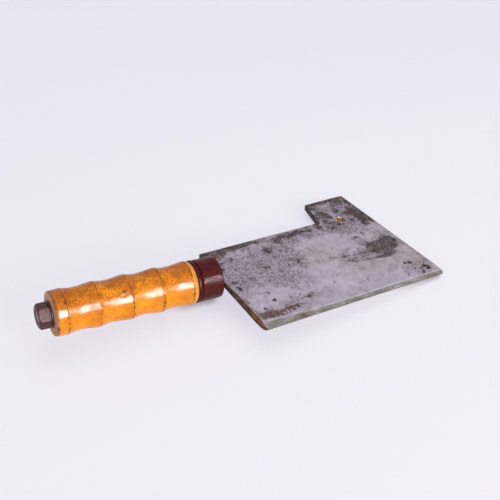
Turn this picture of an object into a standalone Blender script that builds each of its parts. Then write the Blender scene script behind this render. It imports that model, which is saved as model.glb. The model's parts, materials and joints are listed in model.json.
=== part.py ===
"""Butcher's cleaver with a stepped back, a welded round bolster and a turned wooden grip.

The grip is threaded over a round tang rod and clamped by a washer and a hexagon nut at the butt.
All pieces are drawn in millimetres in the tool frame: X runs along the handle from the butt face
towards the blade, Y points from the cutting edge towards the back, Z is square to the blade.
"Front" is towards +X. The empty "tool_frame" then lays the whole tool on a level surface, on the
front rim of the bolster and the far end of the blade, with +Z up and the middle of its footprint
at the origin.
"""

import bpy
import bmesh
import math
from mathutils import Vector

MM = 0.001
CLEARANCE = 0.30             # common gap between neighbouring metal parts
JOINT_GAP = 0.35             # gap on each side of the front collar

# ---- grip, from the butt face at x = 0 ----
GRIP_LENGTH = 109.6
GRIP_BORE_RADIUS = 5.3
GRIP_SEGMENTS = 40
FIRST_CREST = 8.7
CREST_PITCH = 24.15
CREST_COUNT = 5
CREST_RADIUS = 17.15
GROOVE_DEPTH = 1.25
GROOVE_PLACE = 0.37          # deepest point, as a share of the pitch in front of each crest
GROOVE_POWER = 1.15
GROOVE_STATIONS = (0.0, 0.05, 0.13, 0.24, 0.37, 0.52, 0.68, 0.84)   # shares of the pitch
BUTT_FACE_RADIUS = 15.9
BUTT_SHOULDER_RADIUS = 16.85
BUTT_CHAMFER = 2.1
GRIP_FRONT_RADIUS = 15.9
GRIP_FRONT_POWER = 1.8

# ---- front collar ----
COLLAR_REAR = GRIP_LENGTH + JOINT_GAP
COLLAR_FRONT = COLLAR_REAR + 2.7
COLLAR_RADIUS = 16.75
COLLAR_BORE_RADIUS = GRIP_BORE_RADIUS
COLLAR_REAR_ROUND = 0.7
COLLAR_FRONT_ROUND = 0.9
COLLAR_SEGMENTS = 44

# ---- bolster ----
BOLSTER_REAR = COLLAR_FRONT + JOINT_GAP
BOLSTER_FRONT = BOLSTER_REAR + 17.9
BOLSTER_RADIUS = 16.5
BOLSTER_CHAMFER = 1.1        # rear rim
BOLSTER_ROUND = 1.3          # front rim
BOLSTER_SEGMENTS = 44
SOCKET_END = BOLSTER_REAR + 8.4
SOCKET_RADIUS = 5.15
SLOT_REAR = BOLSTER_FRONT - 8.2
SLOT_CUTTER_LENGTH = 20.0

# ---- blade, in its own frame: X along the cutting edge from the heel, Y towards the back ----
EDGE_LENGTH = 174.0
BACK_HEIGHT = 105.1          # heel to back, square to the edge
HEEL_LEAN = 3.2              # the heel end leans forward by this much at the back
NOTCH_X = 122.3              # where the back steps up into the tab
NOTCH_RISE = 0.4             # the back climbs by this much on its way to the step
TAB_REAR_X = 129.3
TAB_REAR_HEIGHT = 136.2
TAB_FRONT_X = 171.3
TAB_FRONT_HEIGHT = 137.3
BLADE_THICKNESS = 4.5
BLADE_HALF = BLADE_THICKNESS / 2
BEVEL_WIDTH = 5.0
BEVEL_HALF = 1.95            # half thickness where the bevel starts
TAPER_WIDTH = 16.0           # edge to the top of the light taper above the bevel
EDGE_HALF = 0.15             # half thickness of the cutting edge
HOLE_X, HOLE_Y, HOLE_RADIUS = 144.8, 102.0, 4.3
HOLE_CUTTER_LENGTH = 12.0
HOLE_SEGMENTS = 32

# ---- blade placing, in the tool frame ----
BLADE_ANGLE = math.radians(3.87)
HEEL_X, HEEL_Y = 134.3, -74.8
TONGUE_WIDTH = 20.0
TONGUE_REAR = SLOT_REAR + 0.4
TONGUE_ROUND = 0.8

# ---- weld beads ----
WELD_LEG = 3.0
WELD_HALF_LENGTH = TONGUE_WIDTH / 2
WELD_RIPPLES = 9
RIPPLE_STEPS = 3
WELD_ARC_STEPS = 6
RIPPLE_SHARE = 0.08          # ripple swing, as a share of the leg
WELD_END_SHARE = 0.45        # share of the leg that the end taper leaves alone
WELD_END_MARGIN = 1.4        # how far beyond the bead's end the taper would reach zero
WELD_FLATTENING = 0.16       # how far the face sinks below a quarter circle

# ---- washer ----
WASHER_FRONT = -CLEARANCE
WASHER_REAR = WASHER_FRONT - 1.05
WASHER_MIDDLE = (WASHER_REAR + WASHER_FRONT) / 2
WASHER_RADIUS = 10.2
WASHER_BORE_RADIUS = 5.25
WASHER_CHAMFER = 0.25
WASHER_SEGMENTS = 40

# ---- nut ----
NUT_FRONT = WASHER_REAR - CLEARANCE
NUT_REAR = NUT_FRONT - 8.2
NUT_MIDDLE = (NUT_FRONT + NUT_REAR) / 2
NUT_FLATS = 17.0
NUT_CORNER_RADIUS = NUT_FLATS / 2 / math.cos(math.pi / 6)
NUT_TURN = 50.8              # degrees about the handle axis, from +Y towards +Z
NUT_FORM_SEGMENTS = 48
COUNTERSINK_RADIUS = 5.45

# ---- rod and coarse M10 thread ----
THREAD_PITCH = 1.5
THREAD_HEIGHT = 0.81
THREAD_SEGMENTS = 24
# (share of the pitch, share of the thread height)
THREAD_SHAPE = ((0.0, 0.0), (0.25, 0.0), (0.5625, 1.0), (0.6875, 1.0))
ROD_CREST = 4.85
ROD_REAR = -9.5
ROD_REAR_RADIUS = 4.15
ROD_FRONT = SOCKET_END - CLEARANCE
THREAD_FRONT = 4.0
SHANK_RADIUS = 4.7
SHANK_REAR_CHAMFER = 1.0
SHANK_FRONT_CHAMFER = 0.8

for old in list(bpy.data.objects):
    bpy.data.objects.remove(old, do_unlink=True)

frame = bpy.data.objects.new("tool_frame", None)
bpy.context.scene.collection.objects.link(frame)


# ------------------------------------------------------------------ materials
def make_material(name, colour, roughness, metallic):
    material = bpy.data.materials.new(name)
    material.use_nodes = True
    shader = material.node_tree.nodes["Principled BSDF"]
    shader.inputs["Base Color"].default_value = (*colour, 1.0)
    shader.inputs["Roughness"].default_value = roughness
    shader.inputs["Metallic"].default_value = metallic
    material.diffuse_color = (*colour, 1.0)
    return material


steel = make_material(
    "scrubbed_steel", colour=(0.40, 0.36, 0.40), roughness=0.45, metallic=0.85)
oxide_paint = make_material(
    "oxide_red_paint", colour=(0.075, 0.018, 0.016), roughness=0.35, metallic=0.0)
collar_paint = make_material(
    "collar_paint", colour=(0.060, 0.016, 0.014), roughness=0.30, metallic=0.0)
varnished_wood = make_material(
    "varnished_wood", colour=(0.72, 0.28, 0.04), roughness=0.25, metallic=0.0)
weld_metal = make_material(
    "weld_metal", colour=(0.10, 0.045, 0.03), roughness=0.55, metallic=0.4)
rod_steel = make_material(
    "rod_steel", colour=(0.16, 0.12, 0.12), roughness=0.45, metallic=0.7)
washer_steel = make_material(
    "washer_steel", colour=(0.12, 0.085, 0.06), roughness=0.45, metallic=0.6)
nut_paint = make_material(
    "nut_paint", colour=(0.085, 0.045, 0.055), roughness=0.40, metallic=0.2)


# ------------------------------------------------------------------ helpers
def add_object(name, solid, material, place=(0, 0, 0), sharp_angle=30.0):
    """Turn a bmesh drawn in millimetres into an object in metres, parented to the frame."""
    bmesh.ops.recalc_face_normals(solid, faces=solid.faces)
    bmesh.ops.scale(solid, vec=(MM, MM, MM), verts=solid.verts)
    mesh = bpy.data.meshes.new(name)
    solid.to_mesh(mesh)
    solid.free()
    mesh.materials.append(material)
    mesh.shade_smooth()
    mesh.set_sharp_from_angle(angle=math.radians(sharp_angle))
    obj = bpy.data.objects.new(name, mesh)
    bpy.context.scene.collection.objects.link(obj)
    obj.location = Vector(place) * MM
    obj.parent = frame
    return obj


def combine(target, helper, operation):
    """Apply a helper object to the target as a boolean, and hide the helper."""
    helper.hide_render = True
    helper.display_type = "WIRE"
    modifier = target.modifiers.new(helper.name, "BOOLEAN")
    modifier.operation = operation
    modifier.solver = "EXACT"
    modifier.object = helper


def turned(profile, segments, closed, origin=0.0, start=0.0):
    """Spin an (x, radius) outline about the X axis. An open one starts and ends on the axis."""
    solid = bmesh.new()
    verts = [
        solid.verts.new((x - origin, radius * math.cos(start), radius * math.sin(start)))
        for x, radius in profile
    ]
    edges = [solid.edges.new(pair) for pair in zip(verts, verts[1:])]
    if closed:
        edges.append(solid.edges.new((verts[-1], verts[0])))
    bmesh.ops.spin(
        solid, geom=verts + edges, cent=(0, 0, 0), axis=(1, 0, 0),
        angle=math.tau, steps=segments, use_merge=True,
    )
    bmesh.ops.remove_doubles(solid, verts=solid.verts, dist=1e-4)
    return solid


def arc(centre_x, centre_radius, radius, from_angle, to_angle, steps):
    """Points of an arc in the (x, radius) half plane, angles in degrees."""
    points = []
    for i in range(steps + 1):
        angle = math.radians(from_angle + (to_angle - from_angle) * i / steps)
        points.append((centre_x + radius * math.cos(angle),
                       centre_radius + radius * math.sin(angle)))
    return points


def rounded(corners, steps=5):
    """Outline with each corner (x, y, radius) replaced by a tangent arc."""
    outline = []
    for i, (x, y, radius) in enumerate(corners):
        corner = Vector((x, y))
        if radius <= 0:
            outline.append(corner)
            continue
        to_last = (Vector(corners[i - 1][:2]) - corner).normalized()
        to_next = (Vector(corners[(i + 1) % len(corners)][:2]) - corner).normalized()
        half_angle = to_last.angle(to_next) / 2
        reach = radius / math.tan(half_angle)
        centre = corner + (to_last + to_next).normalized() * (radius / math.sin(half_angle))
        first = corner + to_last * reach - centre
        last = corner + to_next * reach - centre
        sweep = -first.angle_signed(last)
        for k in range(steps + 1):
            turn = sweep * k / steps
            outline.append(centre + Vector((
                first.x * math.cos(turn) - first.y * math.sin(turn),
                first.x * math.sin(turn) + first.y * math.cos(turn),
            )))
    return outline


def plate(outline, thickness):
    """Flat plate with a given outline, centred on z = 0."""
    solid = bmesh.new()
    face = solid.faces.new([solid.verts.new((x, y, -thickness / 2)) for x, y in outline])
    moved = bmesh.ops.extrude_face_region(solid, geom=[face])["geom"]
    top = [item for item in moved if isinstance(item, bmesh.types.BMVert)]
    bmesh.ops.translate(solid, vec=(0, 0, thickness), verts=top)
    bmesh.ops.recalc_face_normals(solid, faces=solid.faces)
    return solid


def cut_away(solid, point, normal):
    """Remove everything on the side the normal points to, leaving the cut open."""
    geometry = solid.verts[:] + solid.edges[:] + solid.faces[:]
    bmesh.ops.bisect_plane(
        solid, geom=geometry, dist=1e-5, plane_co=point, plane_no=normal, clear_outer=True)


def slice_off(solid, point, normal):
    """Cut away one side of a plane and close the cut."""
    cut_away(solid, point, normal)
    rim = [edge for edge in solid.edges if edge.is_boundary]
    bmesh.ops.edgeloop_fill(solid, edges=rim)
    bmesh.ops.recalc_face_normals(solid, faces=solid.faces)


def threaded(rear, front, crest, limit, origin=0.0):
    """Solid right-hand threaded bar; limit(x, radius) adjusts the radius near the ends."""
    turns = math.ceil((front - rear) / THREAD_PITCH) + 4
    start = rear - 2.0 * THREAD_PITCH
    start -= start % THREAD_PITCH       # keeps the nut's thread in step with the rod's
    solid = bmesh.new()
    rows = []
    for turn in range(turns + 1):
        for along, height in THREAD_SHAPE:
            row = []
            for i in range(THREAD_SEGMENTS):
                angle = math.tau * i / THREAD_SEGMENTS
                x = start + THREAD_PITCH * (turn + along + i / THREAD_SEGMENTS)
                radius = limit(x, crest - THREAD_HEIGHT * (1.0 - height))
                row.append(solid.verts.new(
                    (x - origin, radius * math.cos(angle), radius * math.sin(angle))))
            rows.append(row)
    # Each row ends where the row one whole turn further on begins.
    turn_rows = len(THREAD_SHAPE)
    for j in range(len(rows) - 1):
        here, above = rows[j], rows[j + 1]
        for i in range(THREAD_SEGMENTS - 1):
            solid.faces.new((here[i], here[i + 1], above[i + 1], above[i]))
        if j + turn_rows + 1 < len(rows):
            solid.faces.new((
                here[-1], rows[j + turn_rows][0], rows[j + turn_rows + 1][0], above[-1]))
    for x, direction in ((rear, -1.0), (front, 1.0)):
        cut_away(solid, (x - origin, 0, 0), (direction, 0, 0))
    for x in (rear, front):
        rim = [
            edge for edge in solid.edges
            if edge.is_boundary
            and all(abs(vert.co.x - (x - origin)) < 1e-3 for vert in edge.verts)
        ]
        bmesh.ops.edgeloop_fill(solid, edges=rim)
    return solid


# ------------------------------------------------------------------ blade
def to_blade(x, y):
    """Tool frame to blade frame."""
    cosine, sine = math.cos(BLADE_ANGLE), math.sin(BLADE_ANGLE)
    along, across = x - HEEL_X, y - HEEL_Y
    return along * cosine + across * sine, -along * sine + across * cosine


def to_tool(x, y):
    """Blade frame to tool frame."""
    cosine, sine = math.cos(BLADE_ANGLE), math.sin(BLADE_ANGLE)
    return HEEL_X + x * cosine - y * sine, HEEL_Y + x * sine + y * cosine


def heel_end_x(y):
    """Tool-frame x of the heel end at a tool-frame y."""
    back_x, back_y = to_tool(HEEL_LEAN, BACK_HEIGHT)
    return HEEL_X + (back_x - HEEL_X) * (y - HEEL_Y) / (back_y - HEEL_Y)


def blade_outline():
    """Blade with the tongue that enters the bolster."""
    side = TONGUE_WIDTH / 2
    return rounded([
        # x, y, corner radius
        (0.0, 0.0, 2.6),
        (EDGE_LENGTH, 0.0, 2.4),
        (TAB_FRONT_X, TAB_FRONT_HEIGHT, 1.0),
        (TAB_REAR_X, TAB_REAR_HEIGHT, 1.4),
        (NOTCH_X, BACK_HEIGHT + NOTCH_RISE, 2.7),
        (HEEL_LEAN, BACK_HEIGHT, 1.2),
        (*to_blade(heel_end_x(side), side), 0.0),
        (*to_blade(TONGUE_REAR, side), TONGUE_ROUND),
        (*to_blade(TONGUE_REAR, -side), TONGUE_ROUND),
        (*to_blade(heel_end_x(-side), -side), 0.0),
    ])


def add_blade():
    solid = plate(blade_outline(), BLADE_THICKNESS)
    # Each slope falls from (top y, half thickness) to (bottom y, half thickness).
    taper = (TAPER_WIDTH, BLADE_HALF, BEVEL_WIDTH, BEVEL_HALF)
    bevel = (BEVEL_WIDTH, BEVEL_HALF, 0.0, EDGE_HALF)
    for side in (1.0, -1.0):
        for top_y, top_half, bottom_y, bottom_half in (taper, bevel):
            slice_off(solid, (0, top_y, side * top_half),
                      (0, bottom_half - top_half, side * (top_y - bottom_y)))
    blade = add_object("blade", solid, steel, (HEEL_X, HEEL_Y, 0))
    blade.rotation_euler = (0, 0, BLADE_ANGLE)

    drill = bmesh.new()
    bmesh.ops.create_cone(
        drill, cap_ends=True, segments=HOLE_SEGMENTS,
        radius1=HOLE_RADIUS, radius2=HOLE_RADIUS, depth=HOLE_CUTTER_LENGTH,
    )
    hole = add_object("hole_cutter", drill, steel, (*to_tool(HOLE_X, HOLE_Y), 0))
    combine(blade, hole, "DIFFERENCE")


# ------------------------------------------------------------------ bolster
def add_bolster():
    """Round block with a socket for the rod behind and a slot for the tongue in front."""
    profile = [
        (SOCKET_END, 0.0),
        (SOCKET_END, SOCKET_RADIUS),
        (BOLSTER_REAR, SOCKET_RADIUS),
        (BOLSTER_REAR, BOLSTER_RADIUS - BOLSTER_CHAMFER),
        (BOLSTER_REAR + BOLSTER_CHAMFER, BOLSTER_RADIUS),
        *arc(BOLSTER_FRONT - BOLSTER_ROUND, BOLSTER_RADIUS - BOLSTER_ROUND,
             BOLSTER_ROUND, 90, 0, steps=4),
        (BOLSTER_FRONT, 0.0),
    ]
    solid = turned(profile, BOLSTER_SEGMENTS, closed=False, origin=BOLSTER_REAR)
    bolster = add_object("bolster", solid, oxide_paint, (BOLSTER_REAR, 0, 0))

    box = bmesh.new()
    bmesh.ops.create_cube(box, size=1.0)
    size = (SLOT_CUTTER_LENGTH, TONGUE_WIDTH + 2 * CLEARANCE, BLADE_THICKNESS + 2 * CLEARANCE)
    bmesh.ops.scale(box, vec=size, verts=box.verts)
    slot = add_object("slot_cutter", box, oxide_paint,
                      (SLOT_REAR + SLOT_CUTTER_LENGTH / 2, 0, 0))
    combine(bolster, slot, "DIFFERENCE")


# ------------------------------------------------------------------ weld beads
def add_weld(name, side):
    """Convex fillet bead between the bolster's front face and one flat of the blade."""
    root_x = BOLSTER_FRONT + CLEARANCE
    root_z = BLADE_HALF + CLEARANCE
    count = WELD_RIPPLES * RIPPLE_STEPS
    solid = bmesh.new()
    rows = []
    for i in range(count + 1):
        y = -WELD_HALF_LENGTH + 2 * WELD_HALF_LENGTH * i / count
        wave = 1.0 - RIPPLE_SHARE + RIPPLE_SHARE * math.cos(math.tau * i / RIPPLE_STEPS)
        taper = math.sqrt(1.0 - (abs(y) / (WELD_HALF_LENGTH + WELD_END_MARGIN)) ** 6)
        leg = WELD_LEG * wave * (WELD_END_SHARE + (1.0 - WELD_END_SHARE) * taper)
        row = [solid.verts.new((root_x, y, side * root_z))]
        for k in range(WELD_ARC_STEPS + 1):
            angle = math.radians(90.0 * k / WELD_ARC_STEPS)
            reach = leg * (1.0 - WELD_FLATTENING * math.sin(2 * angle))
            row.append(solid.verts.new((
                root_x + reach * math.cos(angle), y,
                side * (root_z + reach * math.sin(angle)),
            )))
        rows.append(row)
    size = len(rows[0])
    for row, following in zip(rows, rows[1:]):
        for k in range(size):
            n = (k + 1) % size
            solid.faces.new((row[k], row[n], following[n], following[k]))
    solid.faces.new(rows[0])
    solid.faces.new(list(reversed(rows[-1])))
    add_object(name, solid, weld_metal, sharp_angle=50.0)


# ------------------------------------------------------------------ front collar
def add_collar():
    profile = [
        (COLLAR_REAR, COLLAR_BORE_RADIUS),
        *arc(COLLAR_REAR + COLLAR_REAR_ROUND, COLLAR_RADIUS - COLLAR_REAR_ROUND,
             COLLAR_REAR_ROUND, 180, 90, steps=3),
        *arc(COLLAR_FRONT - COLLAR_FRONT_ROUND, COLLAR_RADIUS - COLLAR_FRONT_ROUND,
             COLLAR_FRONT_ROUND, 90, 0, steps=3),
        (COLLAR_FRONT, COLLAR_BORE_RADIUS),
    ]
    solid = turned(profile, COLLAR_SEGMENTS, closed=True, origin=COLLAR_REAR)
    add_object("front_collar", solid, collar_paint, (COLLAR_REAR, 0, 0))


# ------------------------------------------------------------------ grip
def add_grip():
    """Turned grip with ring crests and a finger groove between each pair."""
    profile = [(0.0, GRIP_BORE_RADIUS)]
    # Rounded butt rim, then a straight rise to the first crest.
    for x in (0.0, 0.35, 1.0, BUTT_CHAMFER):
        rise = math.sqrt(x / BUTT_CHAMFER)
        profile.append(
            (x, BUTT_FACE_RADIUS + (BUTT_SHOULDER_RADIUS - BUTT_FACE_RADIUS) * rise))
    profile.append(((BUTT_CHAMFER + FIRST_CREST) / 2, (BUTT_SHOULDER_RADIUS + CREST_RADIUS) / 2))
    # The power moves the middle of the sine wave to the groove's deepest point.
    skew = math.log(0.5) / math.log(GROOVE_PLACE)
    for n in range(CREST_COUNT - 1):
        for share in GROOVE_STATIONS:
            depth = GROOVE_DEPTH * math.sin(math.pi * share ** skew) ** GROOVE_POWER
            profile.append((FIRST_CREST + CREST_PITCH * (n + share), CREST_RADIUS - depth))
    # Fall from the last crest to the front face.
    last_crest = FIRST_CREST + CREST_PITCH * (CREST_COUNT - 1)
    front_length = GRIP_LENGTH - last_crest
    for distance in (0.0, 1.4, 2.8, front_length):
        fall = (distance / front_length) ** GRIP_FRONT_POWER
        profile.append((last_crest + distance,
                        CREST_RADIUS - (CREST_RADIUS - GRIP_FRONT_RADIUS) * fall))
    profile.append((GRIP_LENGTH, GRIP_BORE_RADIUS))
    add_object("grip", turned(profile, GRIP_SEGMENTS, closed=True), varnished_wood)


# ------------------------------------------------------------------ tang rod
def rod_limit(x, radius):
    """Chamfers the rear end of the rod."""
    return min(radius, ROD_REAR_RADIUS + max(0.0, x - ROD_REAR))


def add_rod():
    """Threaded rear end joined to a plain shank."""
    rod = add_object(
        "tang_rod", threaded(ROD_REAR, THREAD_FRONT, ROD_CREST, rod_limit), rod_steel)
    shank_rear = THREAD_FRONT - SHANK_REAR_CHAMFER
    profile = [
        (shank_rear, 0.0),
        (shank_rear, SHANK_RADIUS - SHANK_REAR_CHAMFER),
        (THREAD_FRONT, SHANK_RADIUS),
        (ROD_FRONT - SHANK_FRONT_CHAMFER, SHANK_RADIUS),
        (ROD_FRONT, SHANK_RADIUS - SHANK_FRONT_CHAMFER),
        (ROD_FRONT, 0.0),
    ]
    # The shank is turned a quarter of a segment against the thread.
    quarter_segment = math.radians(360 / THREAD_SEGMENTS / 4)
    solid = turned(profile, THREAD_SEGMENTS, closed=False, start=quarter_segment)
    combine(rod, add_object("shank_form", solid, rod_steel), "UNION")


# ------------------------------------------------------------------ washer
def add_washer():
    profile = [
        (WASHER_REAR, WASHER_BORE_RADIUS),
        (WASHER_REAR, WASHER_RADIUS - WASHER_CHAMFER),
        (WASHER_REAR + WASHER_CHAMFER, WASHER_RADIUS),
        (WASHER_FRONT, WASHER_RADIUS),
        (WASHER_FRONT, WASHER_BORE_RADIUS),
    ]
    solid = turned(profile, WASHER_SEGMENTS, closed=True, origin=WASHER_MIDDLE)
    add_object("butt_washer", solid, washer_steel, (WASHER_MIDDLE, 0, 0))


# ------------------------------------------------------------------ hexagon nut
def hexagon_prism():
    solid = bmesh.new()
    front_ring, rear_ring = [
        [
            solid.verts.new((
                x - NUT_MIDDLE,
                NUT_CORNER_RADIUS * math.cos(math.radians(NUT_TURN + 60 * k)),
                NUT_CORNER_RADIUS * math.sin(math.radians(NUT_TURN + 60 * k)),
            ))
            for k in range(6)
        ]
        for x in (NUT_FRONT, NUT_REAR)
    ]
    solid.faces.new(front_ring)
    solid.faces.new(list(reversed(rear_ring)))
    for k in range(6):
        n = (k + 1) % 6
        solid.faces.new((front_ring[k], rear_ring[k], rear_ring[n], front_ring[n]))
    return solid


def nut_chamfer_form():
    """Turned form that bevels the corners, deeply behind and lightly in front."""
    inset = 0.0005           # keeps its end faces off the prism's
    outside = NUT_CORNER_RADIUS + 0.4
    profile = [
        (NUT_REAR + inset, 0.0),
        (NUT_REAR + inset, NUT_FLATS / 2 - 0.35),
        (NUT_REAR + 1.75, outside),
        (NUT_FRONT - 0.5, outside),
        (NUT_FRONT - inset, NUT_CORNER_RADIUS - 0.25),
        (NUT_FRONT - inset, 0.0),
    ]
    return turned(profile, NUT_FORM_SEGMENTS, closed=False, origin=NUT_MIDDLE)


def nut_limit(x, radius):
    """Opens the thread into a shallow countersink at both faces."""
    return max(radius,
               COUNTERSINK_RADIUS - max(0.0, x - NUT_REAR),
               COUNTERSINK_RADIUS - max(0.0, NUT_FRONT - x))


def add_nut():
    place = (NUT_MIDDLE, 0, 0)
    nut = add_object("hex_nut", hexagon_prism(), nut_paint, place, sharp_angle=25.0)
    chamfer = add_object("nut_chamfer_form", nut_chamfer_form(), nut_paint, place)
    combine(nut, chamfer, "INTERSECT")
    overrun = 0.6            # the bore form stands out of both faces
    solid = threaded(NUT_REAR - overrun, NUT_FRONT + overrun, ROD_CREST + CLEARANCE,
                     nut_limit, origin=NUT_MIDDLE)
    bore = add_object("nut_thread_form", solid, nut_paint, place)
    combine(nut, bore, "DIFFERENCE")


# ------------------------------------------------------------------ lay the tool down
def lay_down():
    """Rest the tool on the bolster's front lower rim and two points of the blade's far end."""
    far_end_x = EDGE_LENGTH + (TAB_FRONT_X - EDGE_LENGTH) * TAPER_WIDTH / TAB_FRONT_HEIGHT
    rim = Vector((BOLSTER_FRONT - BOLSTER_ROUND + 0.1, 0.0, -BOLSTER_RADIUS))
    low_end = Vector((*to_tool(far_end_x, TAPER_WIDTH), -BLADE_HALF))
    tab_end = Vector((*to_tool(TAB_FRONT_X, TAB_FRONT_HEIGHT), -BLADE_HALF))
    up = (low_end - rim).cross(tab_end - rim).normalized()
    frame.rotation_mode = "QUATERNION"
    frame.rotation_quaternion = up.rotation_difference(Vector((0, 0, 1)))
    bpy.context.view_layer.update()

    # Bounds of the visible pieces, with their booleans applied.
    depsgraph = bpy.context.evaluated_depsgraph_get()
    points = []
    for obj in frame.children:
        if obj.hide_render:
            continue
        shown = obj.evaluated_get(depsgraph)
        mesh = shown.to_mesh()
        points += [shown.matrix_world @ vert.co for vert in mesh.vertices]
        shown.to_mesh_clear()
    low = [min(point[k] for point in points) for k in range(3)]
    high = [max(point[k] for point in points) for k in range(3)]
    frame.location = (-(low[0] + high[0]) / 2, -(low[1] + high[1]) / 2, -low[2])
    bpy.context.view_layer.update()


add_blade()
add_bolster()
add_weld("weld_bead_upper", 1.0)
add_weld("weld_bead_lower", -1.0)
add_collar()
add_grip()
add_rod()
add_washer()
add_nut()
lay_down()
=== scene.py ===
"""A butcher's cleaver: steel blade, welded bolster, painted collar and a turned wooden grip,
held by a threaded rod with a washer and a nut at the butt.

The parts are built in millimetres in the tool frame: x runs along the handle axis from the butt
(0) to the blade, y from the cutting edge towards the blade's back, and z up from the flat that
faces the viewer. Shaders work in the same frame in metres.
"""

import json
import math
from functools import cached_property, reduce

import bpy
import bmesh
import numpy as np
from mathutils import Matrix, Vector, noise
from mathutils.geometry import delaunay_2d_cdt


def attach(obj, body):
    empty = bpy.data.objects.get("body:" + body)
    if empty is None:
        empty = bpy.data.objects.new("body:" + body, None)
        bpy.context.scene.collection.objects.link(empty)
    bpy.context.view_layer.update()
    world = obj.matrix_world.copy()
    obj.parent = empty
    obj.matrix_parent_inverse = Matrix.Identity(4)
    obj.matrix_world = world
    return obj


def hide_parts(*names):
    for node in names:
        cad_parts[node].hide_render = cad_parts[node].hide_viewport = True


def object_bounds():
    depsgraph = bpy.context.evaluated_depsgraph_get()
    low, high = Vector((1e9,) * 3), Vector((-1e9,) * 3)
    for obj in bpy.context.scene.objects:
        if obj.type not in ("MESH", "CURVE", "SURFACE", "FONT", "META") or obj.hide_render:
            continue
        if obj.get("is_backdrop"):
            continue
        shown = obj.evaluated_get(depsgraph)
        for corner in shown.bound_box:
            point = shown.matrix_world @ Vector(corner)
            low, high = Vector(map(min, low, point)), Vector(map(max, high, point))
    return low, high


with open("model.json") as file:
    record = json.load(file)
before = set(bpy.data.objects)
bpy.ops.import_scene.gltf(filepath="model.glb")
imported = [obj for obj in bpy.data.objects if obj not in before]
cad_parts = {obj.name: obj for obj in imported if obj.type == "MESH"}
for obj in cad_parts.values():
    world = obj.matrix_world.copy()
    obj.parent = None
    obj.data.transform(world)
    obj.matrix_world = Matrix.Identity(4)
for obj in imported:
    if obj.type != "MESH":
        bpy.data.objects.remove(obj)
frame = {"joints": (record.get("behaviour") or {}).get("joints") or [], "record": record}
cad_lo, cad_hi = (Vector(v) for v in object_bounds())

MM = 0.001
TAU = math.tau

# nut, along the handle axis
NUT_REAR, NUT_FRONT = -1.65, -9.85


# ------------------------------------------------------------------ tool frame
def axes_matrix(x_axis, y_axis, z_axis, origin):
    matrix = Matrix((x_axis, y_axis, z_axis)).transposed().to_4x4()
    matrix.translation = origin
    return matrix


def tool_frame():
    """The tool frame in the CAD world, from the nut's joint and the mount on the upper flat."""
    joint = next(j for j in frame["joints"] if j["name"] == "nut_turn")
    flat = next(m for m in frame["record"]["mounts"] if m["name"] == "blade_upper_flat")
    along = -Vector(joint["axis"]).normalized()
    back = Vector(flat["axis"]).normalized().cross(along).normalized()
    up = along.cross(back).normalized()
    nut_middle = (NUT_REAR + NUT_FRONT) / 2
    return axes_matrix(along, back, up, Vector(joint["pos_m"]) - along * nut_middle * MM)


TOOL = tool_frame()


# ------------------------------------------------------------------ shader graphs
class Signal:
    """An output socket that can be used in sums; each operation adds a node."""

    def __init__(self, graph, socket):
        self.graph, self.socket = graph, socket

    def __add__(self, other):
        return self.graph.math("ADD", self, other)

    def __radd__(self, other):
        return self.graph.math("ADD", other, self)

    def __sub__(self, other):
        return self.graph.math("SUBTRACT", self, other)

    def __rsub__(self, other):
        return self.graph.math("SUBTRACT", other, self)

    def __mul__(self, other):
        return self.graph.math("MULTIPLY", self, other)

    def __truediv__(self, other):
        return self.graph.math("DIVIDE", self, other)

    def __pow__(self, other):
        return self.graph.math("POWER", self, other)

    def __abs__(self):
        return self.graph.math("ABSOLUTE", self)

    def max(self, other):
        return self.graph.math("MAXIMUM", self, other)

    def sqrt(self):
        return self.graph.math("SQRT", self)

    def fract(self):
        return self.graph.math("FRACT", self)

    def lin(self, lo, hi, to=(0.0, 1.0), kind="LINEAR"):
        """The range lo..hi moved to the range `to`; lo may be above hi."""
        return self.graph.add("MapRange", {
            "Value": self, "From Min": lo, "From Max": hi, "To Min": to[0], "To Max": to[1],
        }, interpolation_type=kind)

    def step(self, lo, hi, to=(0.0, 1.0)):
        """As lin, with eased ends."""
        return self.lin(lo, hi, to, kind="SMOOTHSTEP")


class Graph:
    """Short way to wire a node tree."""

    def __init__(self, tree):
        self.tree = tree
        tree.nodes.clear()

    def put(self, socket, value):
        if isinstance(value, Signal):
            self.tree.links.new(value.socket, socket)
            return
        if isinstance(value, tuple) and len(value) == 3 and len(socket.default_value) == 4:
            value = (*value, 1.0)
        socket.default_value = value

    def node(self, kind, inputs=None, **settings):
        node = self.tree.nodes.new("ShaderNode" + kind)
        for key, value in settings.items():
            setattr(node, key, value)
        for key, value in (inputs or {}).items():
            self.put(node.inputs[key], value)
        return node

    def add(self, kind, inputs=None, output=0, **settings):
        """A new node's output as a signal."""
        return Signal(self, self.node(kind, inputs, **settings).outputs[output])

    def math(self, operation, a, b=0.0):
        return self.add("Math", {0: a, 1: b, 2: 0.0}, operation=operation)

    def mix(self, base, tint, by):
        return self.add("Mix", {0: by, 6: base, 7: tint}, output=2, data_type="RGBA")

    def blend(self, a, b, by):
        """Plain number mix."""
        return self.add("Mix", {0: by, 2: a, 3: b}, data_type="FLOAT")


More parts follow.
